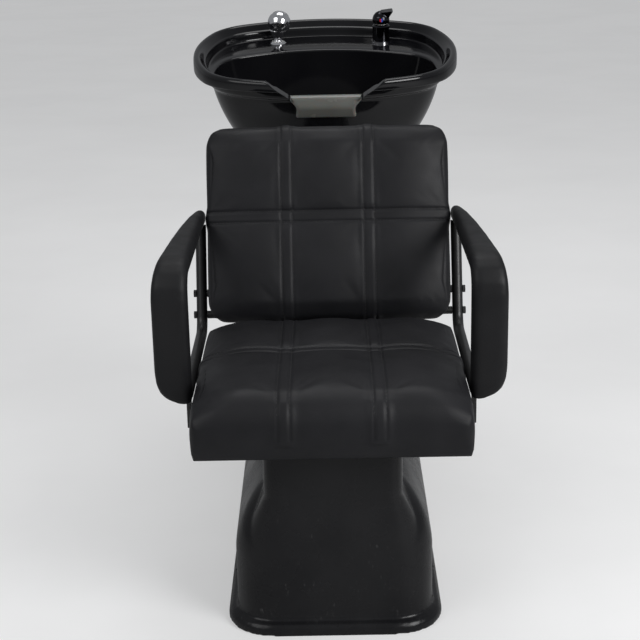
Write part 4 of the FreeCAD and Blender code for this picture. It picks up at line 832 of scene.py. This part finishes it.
# Pieces whose edges the moulds or the polish have rounded: node, name, body, voxel and rounds of smoothing
ROUNDED = (
    ("neck_rest", "neck_rest_skin", "bowl_unit", 0.002, 40),
    ("mixer_lever", "mixer_cap_skin", "mixer_cap", 0.0009, 8),
    ("spray_head", "spray_head_skin", "hand_spray", 0.0009, 14),
    ("tilt_knob", "tilt_knob_skin", "lock_knob", 0.0012, 6),
    ("arm_pad_left", "arm_pad_left_skin", "chair", 0.0035, 24),
    ("arm_pad_right", "arm_pad_right_skin", "chair", 0.0035, 24),
)
for node, name, body, voxel, rounds in ROUNDED:
    item = finished(name, softened(node, voxel, rounds), body, NODE_SLOTS[node], node)

# Floor, light and camera
FLOOR_HALF = 30.0
FLOOR_GLOW = 0.36
FLOOR_FINISH = ((0.55, 0.55, 0.55), (0.6, 0.6, 0.6), (0.5, 0.6), 1.5, 40, 0.0005)
WORLD_COLOUR = (0.82, 0.84, 0.87, 1)
WORLD_STRENGTH = 0.3
# place, aim, width in metres and power in watts
LAMPS = {
    "window": ((2.3, -2.3, 2.2), (0, 0, 0.6), 1.8, 75),
    "fill": ((-2.6, -2.4, 3.2), (0, 0, 0.5), 2.8, 40),
    "top": ((0.2, 1.0, 4.2), (0, 0, 0.6), 2.6, 45),
}
PHOTO_PIXELS = 640
FOCAL_PIXELS = 1500
SENSOR_WIDTH = 36
CAMERA_PLACE = (0, -2.96, 1.42)
CAMERA_HEADING = math.radians(0.4)
CAMERA_FALL = math.radians(18.1)
CAMERA_ROLL = math.radians(-1.2)
floor_corners = [Vector((x * FLOOR_HALF, y * FLOOR_HALF, 0)) for x, y in ((-1, -1), (1, -1), (1, 1), (-1, 1))]
floor = shown("floor", mesh_of(floor_corners, [(0, 1, 2, 3)]))
floor_paint, floor_shader = worn("floor_paint", *FLOOR_FINISH, Specular_IOR_Level=LOW_GLOSS)
seen = add(floor_paint, "ShaderNodeLightPath").outputs["Is Camera Ray"]
floor_shader.inputs["Emission Color"].default_value = (1, 1, 1, 1)
join(floor_paint, ranged(floor_paint, seen, 0, 1, 0, FLOOR_GLOW), floor_shader.inputs["Emission Strength"])
floor.data.materials.append(floor_paint)


def lamp(name, place, aim, size, power):
    light = bpy.data.lights.new(name, "AREA")
    light.shape = "DISK"
    light.size = size
    light.energy = power
    item = bpy.data.objects.new(name, light)
    item.location = place
    item.rotation_euler = (Vector(aim) - Vector(place)).to_track_quat("-Z", "Y").to_euler()
    scene.collection.objects.link(item)


for name, values in LAMPS.items():
    lamp(name, *values)
world = bpy.data.worlds.new("studio")
world.use_nodes = True
world.node_tree.nodes["Background"].inputs["Color"].default_value = WORLD_COLOUR
world.node_tree.nodes["Background"].inputs["Strength"].default_value = WORLD_STRENGTH
scene.world = world

camera_data = bpy.data.cameras.new("camera")
camera_data.sensor_width = SENSOR_WIDTH
camera_data.lens = SENSOR_WIDTH * FOCAL_PIXELS / PHOTO_PIXELS
camera = bpy.data.objects.new("camera", camera_data)
camera.location = CAMERA_PLACE
heading = Matrix.Rotation(CAMERA_HEADING, 3, "Z")
pitch = Matrix.Rotation(math.radians(90) - CAMERA_FALL, 3, "X")
roll = Matrix.Rotation(CAMERA_ROLL, 3, "Z")
camera.rotation_euler = (heading @ pitch @ roll).to_euler()
scene.collection.objects.link(camera)
scene.camera = camera
scene.view_settings.view_transform = "Standard"
